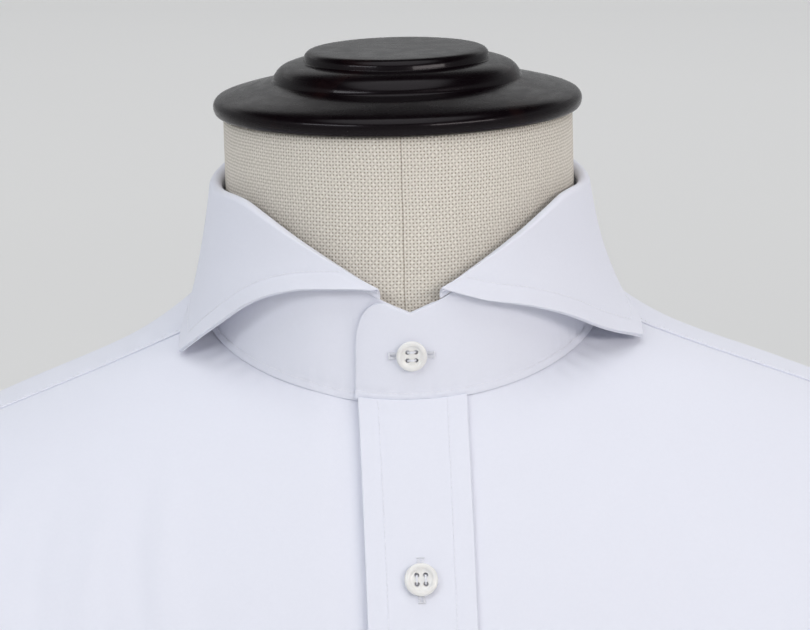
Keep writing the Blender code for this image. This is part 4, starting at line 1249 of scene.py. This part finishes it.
def button_mesh():
    """A four-hole button with a dished face, its underside at height 0."""
    mesh = lathe("button", BUTTON_PROFILE, (0.0, 0.0, 0.0), 64, 3)
    disc = bpy.data.objects.new("button_disc", mesh)
    bpy.context.scene.collection.objects.link(disc)
    mend_faces(disc)
    drills = bmesh.new()
    for x, y in ((1, 1), (-1, 1), (-1, -1), (1, -1)):
        spot = Matrix.Translation((x * HOLE_AWAY, y * HOLE_AWAY, 0.001))
        bmesh.ops.create_cone(
            drills, cap_ends=True, segments=20, radius1=HOLE_RADIUS, radius2=HOLE_RADIUS,
            depth=0.006, matrix=spot,
        )
    drill_mesh = bpy.data.meshes.new("drills")
    drills.to_mesh(drill_mesh)
    drills.free()
    drill = bpy.data.objects.new("drills", drill_mesh)
    bpy.context.scene.collection.objects.link(drill)
    cut = disc.modifiers.new("holes", "BOOLEAN")
    cut.object = drill
    cut.operation = "DIFFERENCE"
    seen = disc.evaluated_get(bpy.context.evaluated_depsgraph_get())
    made = bpy.data.meshes.new_from_object(seen)
    made.name = "four_hole_button"
    bpy.data.objects.remove(disc)
    bpy.data.objects.remove(drill)
    made.shade_smooth()
    made.set_sharp_from_angle(angle=math.radians(35))
    made.materials.clear()
    made.materials.append(PEARL)
    return made


def bars(name, starts, ends, up, thick, sag=0.0):
    """Short threads between pairs of points, one mesh, on a common upward direction."""
    shares = np.array((0.0, 0.3, 0.7, 1.0))
    centre = starts[:, None] + (ends - starts)[:, None] * shares[:, None]
    centre = centre - up * (sag * np.array((1.0, 0.0, 0.0, 1.0)))[:, None]
    ahead = unit(ends - starts)[:, None]
    side = unit(np.cross(ahead, up))
    thread_piece(name, centre, side, up, thick)


def make_button(name, mesh, centre, facing, along, size=1.0):
    """One button on its cloth with its sewing, and the buttonhole's edges under it."""
    facing = unit(np.asarray(facing))
    along = unit(np.asarray(along) - facing * np.dot(along, facing))
    aside = np.cross(facing, along)
    seat = np.asarray(centre) + facing * SEAM_GAP
    turn = Matrix(np.stack((aside, along, facing), 1).tolist()).to_4x4()
    sized = mesh.copy()
    sized.transform(Matrix.Translation(seat) @ turn @ Matrix.Scale(size, 4))
    made = place(name + "_turned", sized, None, "button", name)
    made.data.set_sharp_from_angle(angle=math.radians(35))
    reach = HOLE_AWAY * size
    starts = []
    ends = []
    for x in (-1, 1):
        for strand in (-STRAND_GAP, 0.0, STRAND_GAP):
            middle = seat + aside * (x * reach + strand) + facing * (STRAND_HEIGHT * size)
            starts.append(middle - along * reach * 1.1)
            ends.append(middle + along * reach * 1.1)
    bars(name + "_thread", np.array(starts), np.array(ends), facing, STRAND, STRAND_DIP)
    make_buttonhole(name + "_hole", np.asarray(centre), facing, along)


def make_buttonhole(name, centre, facing, along):
    """The closely sewn edge of a buttonhole, as short threads across its two lips."""
    aside = np.cross(facing, along)
    straight = BUTTONHOLE / 2
    starts = []
    ends = []
    for side in (-1, 1):
        for at in np.arange(-straight, straight, HOLE_PITCH):
            wobble = RANDOM.uniform(-HOLE_WOBBLE, HOLE_WOBBLE)
            starts.append(centre + along * at + aside * side * HOLE_LIP_INNER)
            ends.append(centre + along * (at + wobble) + aside * side * (HOLE_LIP_OUTER + wobble))
    for end in (-1, 1):
        for at in np.arange(-HOLE_LIP_OUTER, HOLE_LIP_OUTER, HOLE_PITCH):
            starts.append(centre + along * end * straight + aside * at)
            ends.append(centre + along * end * (straight + HOLE_END) + aside * at)
    bars(name, np.array(starts), np.array(ends), facing, HOLE_THREAD, HOLE_DIP)


def make_buttons():
    """The collar's, the fronts' and the cuffs' buttons, each on its buttonhole."""
    mesh = button_mesh()
    placket_out = CLOTH + SEAM_GAP
    levels = NECK_HEIGHT + FRONT_BUTTON_TOP - FRONT_BUTTON_PITCH * np.arange(FRONT_BUTTONS)
    low = np.zeros(FRONT_BUTTONS)
    numbers = solve(lambda number: body_base(0.0 * number, number)[..., 2] - levels, low, low + HEM)
    for i, number in enumerate(numbers):
        centre = body(0.0, number, placket_out)
        along = body_base(0.0, number - 0.05) - body_base(0.0, number + 0.05)
        make_button("front_button_%d" % (i + 1), mesh, centre, body_normal(0.0, number), along)
    foot = body_base(0.0, 0.0)
    line = fold_line(0.0)
    head = around_neck(0.0, line.radius - ROLL_HALF + CLOTH, line.z - ROLL_DROP)
    along = unit(head - foot)
    facing = np.array((0.0, -along[2], along[1]))
    size = COLLAR_BUTTON_RADIUS / BUTTON_RADIUS
    make_button("collar_button", mesh, foot + (head - foot) * 0.52, facing, (1.0, 0.0, 0.0), size)
    middle = SLEEVE_RINGS[-1].z - CUFF_HEIGHT / 2 + NECK_HEIGHT
    turn = CUFF_EDGE + CUFF_LAP * 0.45
    out = CLOTH + LAYER_GAP
    centre = cuff_point(turn, middle, out)
    along = unit(cuff_point(turn + 3, middle, out) - cuff_point(turn - 3, middle, out))
    facing = np.cross(along, (0.0, 0.0, 1.0))
    facing = facing * np.sign(facing[0])
    for name, side in (("left", 1), ("right", -1)):
        flip = np.array((side, 1, 1))
        make_button("cuff_button_" + name, mesh, centre * flip, facing * flip, along * flip)


class Shader:
    """A material's nodes, added and joined one by one."""

    def __init__(self, name, colour, roughness, **sockets):
        self.material = bpy.data.materials.new(name)
        self.material.use_nodes = True
        self.tree = self.material.node_tree
        self.surface = self.tree.nodes["Principled BSDF"]
        self.surface.inputs["Base Color"].default_value = (*colour, 1.0)
        self.surface.inputs["Roughness"].default_value = roughness
        for socket, value in sockets.items():
            self.surface.inputs[socket.replace("_", " ")].default_value = value

    def node(self, kind, *inputs, **settings):
        """Add a node, with its inputs in order, and return its first output."""
        made = self.tree.nodes.new(kind)
        for name, value in settings.items():
            setattr(made, name, value)
        for socket, value in zip(made.inputs, inputs):
            if value is None:
                continue
            if isinstance(value, bpy.types.NodeSocket):
                self.tree.links.new(value, socket)
            else:
                socket.default_value = value
        return made.outputs[0]

    def math(self, operation, *inputs):
        """The output of a Math node."""
        return self.node("ShaderNodeMath", *inputs, operation=operation)

    def noise(self, vector, scale, detail=2.0):
        """The output of a Noise Texture in three dimensions."""
        made = self.tree.nodes.new("ShaderNodeTexNoise")
        made.inputs["Scale"].default_value = scale
        made.inputs["Detail"].default_value = detail
        self.tree.links.new(vector, made.inputs["Vector"])
        return made.outputs["Fac"]

    def mix(self, share, low, high):
        """A colour between two by a share."""
        made = self.tree.nodes.new("ShaderNodeMix")
        made.data_type = "RGBA"
        self.tree.links.new(share, made.inputs["Factor"])
        made.inputs["A"].default_value = (*low, 1.0)
        made.inputs["B"].default_value = (*high, 1.0)
        return made.outputs["Result"]

    def colour(self, value):
        """Join a colour to the surface."""
        self.tree.links.new(value, self.surface.inputs["Base Color"])

    def rough(self, value):
        """Join a value to the surface's roughness."""
        self.tree.links.new(value, self.surface.inputs["Roughness"])

    def spread(self, value, low, high, to_low, to_high):
        """A value carried from one range to another."""
        return self.node("ShaderNodeMapRange", value, low, high, to_low, to_high)

    def bump(self, height, distance, strength=1.0, under=None):
        """Join a height to the surface's normal, over another bump if one is given."""
        made = self.tree.nodes.new("ShaderNodeBump")
        made.inputs["Strength"].default_value = strength
        made.inputs["Distance"].default_value = distance
        self.tree.links.new(height, made.inputs["Height"])
        if under is not None:
            self.tree.links.new(under, made.inputs["Normal"])
        self.tree.links.new(made.outputs["Normal"], self.surface.inputs["Normal"])
        return made.outputs["Normal"]

    def place(self):
        """The object's own coordinates, in metres."""
        return self.tree.nodes.new("ShaderNodeTexCoord").outputs["Object"]

    def split(self, vector):
        """The three parts of a vector."""
        made = self.tree.nodes.new("ShaderNodeSeparateXYZ")
        self.tree.links.new(vector, made.inputs[0])
        return made.outputs[0], made.outputs[1], made.outputs[2]

    def stretched(self, vector, scale):
        """A vector with each part scaled."""
        made = self.tree.nodes.new("ShaderNodeMapping")
        made.inputs["Scale"].default_value = scale
        self.tree.links.new(vector, made.inputs["Vector"])
        return made.outputs["Vector"]


def cotton(name, colour, shade, pitch):
    """White poplin: a fine plain weave over a softly uneven pressed surface."""
    made = Shader(name, colour, 0.78, Sheen_Weight=0.12, Sheen_Roughness=0.4, Specular_IOR_Level=0.25)
    grain = made.node("ShaderNodeUVMap", uv_map="grain")
    across, down, _ = made.split(grain)
    warp = made.math("SINE", made.math("MULTIPLY", across, math.pi / pitch))
    weft = made.math("SINE", made.math("MULTIPLY", down, math.pi / pitch))
    weave = made.math("MULTIPLY", warp, weft)
    slub = made.noise(made.stretched(grain, (2600.0, 160.0, 1.0)), 1.0)
    pressed = made.noise(made.place(), 55.0, 3.0)
    made.colour(made.mix(made.noise(made.place(), 900.0, 2.0), shade, colour))
    low = made.bump(pressed, 0.00022, 0.6)
    middle = made.bump(slub, 0.00003, 0.5, low)
    made.bump(weave, 0.00002, 0.45, middle)
    return made.material


def linen(name):
    """Coarse oat linen: round threads over and under, with painted shade in the gaps where four meet."""
    made = Shader(name, LINEN_LIGHT, 0.9, Sheen_Weight=0.10, Sheen_Roughness=0.5, Specular_IOR_Level=0.15)
    x, y, z = made.split(made.place())
    y = made.math("SUBTRACT", y, BODY_SHIFT)
    turn = made.math("ARCTAN2", x, made.math("MULTIPLY", y, -1.0))
    around = made.math("MULTIPLY", turn, NECK_RADIUS)
    sway = made.math("MULTIPLY", made.math("SUBTRACT", made.noise(made.place(), 38.0), 0.5), 0.0020)
    swing = made.math("MULTIPLY", made.math("SUBTRACT", made.noise(made.place(), 31.0), 0.5), 0.0011)
    warp = made.math("MULTIPLY", made.math("ADD", around, sway), math.pi / LINEN_PITCH)
    weft = made.math("MULTIPLY", made.math("ADD", z, swing), math.pi / LINEN_PITCH)
    slub = made.math("MULTIPLY", made.math("SUBTRACT", made.noise(made.place(), 420.0), 0.5), 1.6)
    warp = made.math("ADD", warp, slub)
    weft = made.math("SUBTRACT", weft, slub)
    over = made.math("MULTIPLY", made.math("COSINE", warp), made.math("COSINE", weft))
    side = made.math("ABSOLUTE", made.math("COSINE", warp))
    level = made.math("ABSOLUTE", made.math("COSINE", weft))
    crossing_height = made.math("POWER", made.math("MAXIMUM", side, level), 0.5)
    rib = made.math("MULTIPLY_ADD", over, 0.22, crossing_height)
    streak_warp = made.noise(made.stretched(made.place(), (950.0, 950.0, 45.0)), 1.0)
    streak_weft = made.noise(made.stretched(made.place(), (45.0, 45.0, 950.0)), 1.0)
    on_top = made.spread(over, -0.25, 0.25, 0.0, 1.0)
    streak = made.math(
        "MULTIPLY_ADD", made.math("SUBTRACT", streak_warp, streak_weft), on_top, streak_weft
    )
    filled = made.spread(made.noise(made.place(), 700.0, 1.0), 0.48, 0.70, 0.0, 0.75)
    fuzz = made.noise(made.place(), 2600.0, 2.0)
    tone = made.math("MULTIPLY_ADD", streak, 0.45, made.math("MULTIPLY_ADD", fuzz, 0.35, 0.10))
    # Painted shade: the colour darkens where the threads dip, in the gaps where four meet, except where
    # random fibre fills a gap
    gap = made.spread(crossing_height, 0.42, 0.96, 0.0, 1.0)
    gap = made.math("MAXIMUM", gap, filled)
    # Painted shade along the groove of the neck's front seam: the colour darkens to half there, and the
    # weave's relief flattens
    swayed = made.math("MULTIPLY_ADD", sway, 0.5, around)
    aside = made.math("ABSOLUTE", made.math("ADD", swayed, SEAM_ASIDE))
    seam = made.spread(aside, 0.00002, 0.00034, 0.50, 1.0)
    worn = made.math("MULTIPLY_ADD", tone, 0.5, 0.62)
    # The share of the lighter linen colour: the painted shade of the gaps and of the seam's groove, times
    # the threads' own tone
    light = made.math("MULTIPLY", made.math("MULTIPLY", gap, seam), worn)
    light = made.math("MULTIPLY", light, made.math("MULTIPLY_ADD", over, 0.10, 0.92))
    made.colour(made.mix(light, LINEN_DARK, LINEN_LIGHT))
    low = made.bump(made.math("MULTIPLY", rib, seam), 0.00030, 0.9)
    made.bump(fuzz, 0.00006, 0.5, low)
    return made.material


def lacquer(name):
    """Black lacquer on turned wood, satin, with faint brush marks and dust."""
    made = Shader(
        name, LACQUER_BLACK, 0.30, Specular_IOR_Level=0.10, Coat_Weight=0.15, Coat_Roughness=0.07
    )
    made.surface.inputs["Specular Tint"].default_value = (1.0, 0.88, 0.97, 1.0)
    dust = made.noise(made.place(), 1300.0, 3.0)
    marks = made.noise(made.stretched(made.place(), (1.0, 1.0, 9.0)), 150.0, 4.0)
    made.rough(made.spread(marks, 0.3, 0.75, 0.23, 0.34))
    wood = made.spread(made.noise(made.place(), 60.0, 5.0), 0.60, 0.80, 0.0, 1.0)
    made.colour(made.mix(wood, LACQUER_BLACK, (0.0110, 0.0040, 0.0040)))
    made.bump(made.math("MULTIPLY_ADD", dust, 0.5, marks), 0.00008, 0.35)
    return made.material


def steel(name):
    """Satin black powder coat."""
    made = Shader(name, (0.018, 0.018, 0.020), 0.42, Specular_IOR_Level=0.5)
    grain = made.noise(made.place(), 2200.0, 2.0)
    worn = made.noise(made.place(), 25.0, 4.0)
    made.colour(made.mix(worn, (0.015, 0.015, 0.017), (0.026, 0.026, 0.028)))
    made.rough(made.spread(worn, 0.3, 0.7, 0.36, 0.50))
    made.bump(grain, 0.00010, 0.35)
    return made.material


def pearl(name):
    """Pearly white button, with soft clouds in its colour."""
    made = Shader(
        name, (0.84, 0.83, 0.80), 0.28, Coat_Weight=0.35, Coat_Roughness=0.08, Subsurface_Weight=0.15
    )
    made.surface.inputs["Subsurface Radius"].default_value = (0.002, 0.0018, 0.0015)
    cloud = made.noise(made.stretched(made.place(), (1.0, 2.4, 1.0)), 260.0, 4.0)
    made.colour(made.mix(cloud, (0.74, 0.74, 0.74), (0.90, 0.885, 0.85)))
    made.bump(cloud, 0.00004, 0.4)
    return made.material


def thread(name):
    """Twisted sewing thread, a touch brighter than the cloth."""
    made = Shader(name, (0.83, 0.84, 0.90), 0.6, Sheen_Weight=0.2, Specular_IOR_Level=0.3)
    twist = made.noise(made.place(), 5200.0, 1.0)
    made.colour(made.mix(twist, (0.79, 0.80, 0.87), (0.88, 0.89, 0.94)))
    made.bump(twist, 0.00006, 0.5)
    return made.material


def floor_paint(name):
    """The plain pale floor's paint."""
    made = Shader(name, (0.92, 0.915, 0.91), 0.95, Specular_IOR_Level=0.1)
    made.colour(made.mix(made.noise(made.place(), 0.8, 2.0), (0.910, 0.905, 0.898), (0.930, 0.925, 0.918)))
    return made.material


LINEN_PITCH = 0.00115
# How far the linen's front seam is from the middle
SEAM_ASIDE = 0.0016
LINEN_LIGHT = (0.880, 0.836, 0.762)
# The darker end of the linen's colour, used for the threads' own tone and for the painted shade in the
# weave's gaps and the seam's groove
LINEN_DARK = (0.190, 0.145, 0.092)
LACQUER_BLACK = (0.0030, 0.0016, 0.0024)
COTTON = cotton("white_poplin", (0.790, 0.803, 0.885), (0.768, 0.782, 0.866), 0.00022)
THREAD_COTTON = thread("white_thread")
LINEN = linen("oat_linen")
LACQUER = lacquer("black_lacquer")
STEEL = steel("black_steel")
PEARL = pearl("pearl_button")


def make_stage():
    """A wide pale floor under an even sky of the same tone."""
    shape = bmesh.new()
    bmesh.ops.create_circle(shape, cap_ends=True, segments=96, radius=40.0)
    mesh = bpy.data.meshes.new("floor")
    shape.to_mesh(mesh)
    shape.free()
    floor = bpy.data.objects.new("floor", mesh)
    bpy.context.scene.collection.objects.link(floor)
    mesh.materials.append(floor_paint("pale_floor"))
    world = bpy.data.worlds.new("studio")
    world.use_nodes = True
    tree = world.node_tree
    toward = tree.nodes.new("ShaderNodeTexCoord").outputs["Generated"]
    parts = []
    for axis, wide, narrow, strength in SKY_PARTS:
        facing = tree.nodes.new("ShaderNodeVectorMath")
        facing.operation = "DOT_PRODUCT"
        tree.links.new(toward, facing.inputs[0])
        facing.inputs[1].default_value = axis
        fade = tree.nodes.new("ShaderNodeMapRange")
        fade.interpolation_type = "SMOOTHSTEP"
        tree.links.new(facing.outputs["Value"], fade.inputs["Value"])
        fade.inputs["From Min"].default_value = wide
        fade.inputs["From Max"].default_value = narrow
        fade.inputs["To Min"].default_value = 0.0
        fade.inputs["To Max"].default_value = strength
        parts.append(fade.outputs[0])
    total = tree.nodes.new("ShaderNodeMath")
    total.operation = "ADD"
    tree.links.new(parts[0], total.inputs[0])
    tree.links.new(parts[1], total.inputs[1])
    tree.links.new(total.outputs[0], tree.nodes["Background"].inputs["Strength"])
    tree.nodes["Background"].inputs["Color"].default_value = SKY_COLOUR
    bpy.context.scene.world = world
    bpy.context.scene.view_settings.view_transform = "Standard"


# The sky in two parts, each about an axis: where it starts and is full (as cosines), and its strength
SKY_PARTS = [
    ((0.0, 0.0, -1.0), -0.70, -0.30, 0.455),
    ((0.0, -0.26, 0.966), 0.80, 0.93, 1.90),
]
SKY_COLOUR = (0.97, 0.985, 1.0, 1.0)
# Lamps: where each stands about the collar, its size and power, and its colour
Lamp = namedtuple("Lamp", "name azimuth elevation distance width height power colour")
LAMPS = [
    Lamp("key", 39.0, 19.0, 2.2, 1.6, 0.3, 15.3, (1.0, 0.95, 0.93)),
    Lamp("fill", -47.0, 27.0, 2.3, 1.4, 0.3, 11.2, (0.935, 0.965, 1.0)),
    Lamp("back_left", 146.0, 34.0, 2.8, 1.4, 1.2, 18.0, (1.0, 0.985, 0.97)),
    Lamp("back_right", -132.0, 40.0, 2.8, 1.4, 1.2, 9.0, (0.97, 0.985, 1.0)),
    Lamp("backdrop", 180.0, 24.0, 7.0, 9.0, 5.0, 46.0, (1.0, 1.0, 1.0)),
]


def direction(azimuth, elevation):
    """The way out from the collar at degrees round from the front and up from level."""
    azimuth = math.radians(azimuth)
    elevation = math.radians(elevation)
    level = math.cos(elevation)
    return Vector((math.sin(azimuth) * level, -math.cos(azimuth) * level, math.sin(elevation)))


def make_lights():
    """Soft boxes aimed at the collar, and one behind it that faces straight down at the floor."""
    aim = Vector((0.0, BODY_SHIFT, NECK_HEIGHT))
    for lamp in LAMPS:
        away = direction(lamp.azimuth, lamp.elevation)
        light = bpy.data.lights.new(lamp.name, "AREA")
        light.shape = "RECTANGLE"
        light.size = lamp.width
        light.size_y = lamp.height
        light.energy = lamp.power
        light.color = lamp.colour
        made = bpy.data.objects.new(lamp.name, light)
        made.location = aim + away * lamp.distance
        made.rotation_mode = "QUATERNION"
        if lamp.azimuth < 180:
            made.rotation_quaternion = away.to_track_quat("Z", "Y")
        made.visible_glossy = not lamp.name.startswith("back_")
        bpy.context.scene.collection.objects.link(made)


def make_camera():
    """The photograph's view of the collar, a little from above."""
    azimuth = math.radians(VIEW_AZIMUTH)
    roll = math.radians(VIEW_ROLL)
    back = direction(VIEW_AZIMUTH, VIEW_ELEVATION)
    level = Vector((math.cos(azimuth), math.sin(azimuth), 0.0))
    upright = back.cross(level)
    right = level * math.cos(roll) - upright * math.sin(roll)
    up = level * math.sin(roll) + upright * math.cos(roll)
    across = (VIEW_CENTRE[0] - FRAME_WIDTH / 2) * PIXEL_AT_NECK
    above = -(VIEW_CENTRE[1] - FRAME_HEIGHT / 2) * PIXEL_AT_NECK
    centre = Vector((0.0, BODY_SHIFT, NECK_HEIGHT))
    eye = centre + back * VIEW_DISTANCE - right * across - up * above
    data = bpy.data.cameras.new("camera")
    data.sensor_width = SENSOR
    data.lens = VIEW_DISTANCE / PIXEL_AT_NECK / FRAME_WIDTH * SENSOR
    data.clip_start = 0.05
    data.clip_end = 200.0
    camera = bpy.data.objects.new("camera", data)
    turn = Matrix((right, up, back)).transposed().to_4x4()
    camera.matrix_world = Matrix.Translation(eye) @ turn
    bpy.context.scene.collection.objects.link(camera)
    bpy.context.scene.camera = camera


# Each cut piece's flat width and length, its share of that rectangle, and what it rests on
Cut = namedtuple("Cut", "piece width length share held rests_on")


make_camera()
make_stage()
make_lights()
make_form()
make_stand()
for side in (1, -1):
    name = "front_left" if side > 0 else "front_right"
    front_points = make_front(name, side)
    stitches("hem_stitches_" + name, *stitch_line(front_points, "bottom", HEM_STITCH))
make_placket()
make_yoke()
make_back()
make_band()
make_leaf()
make_sleeves()
make_buttons()
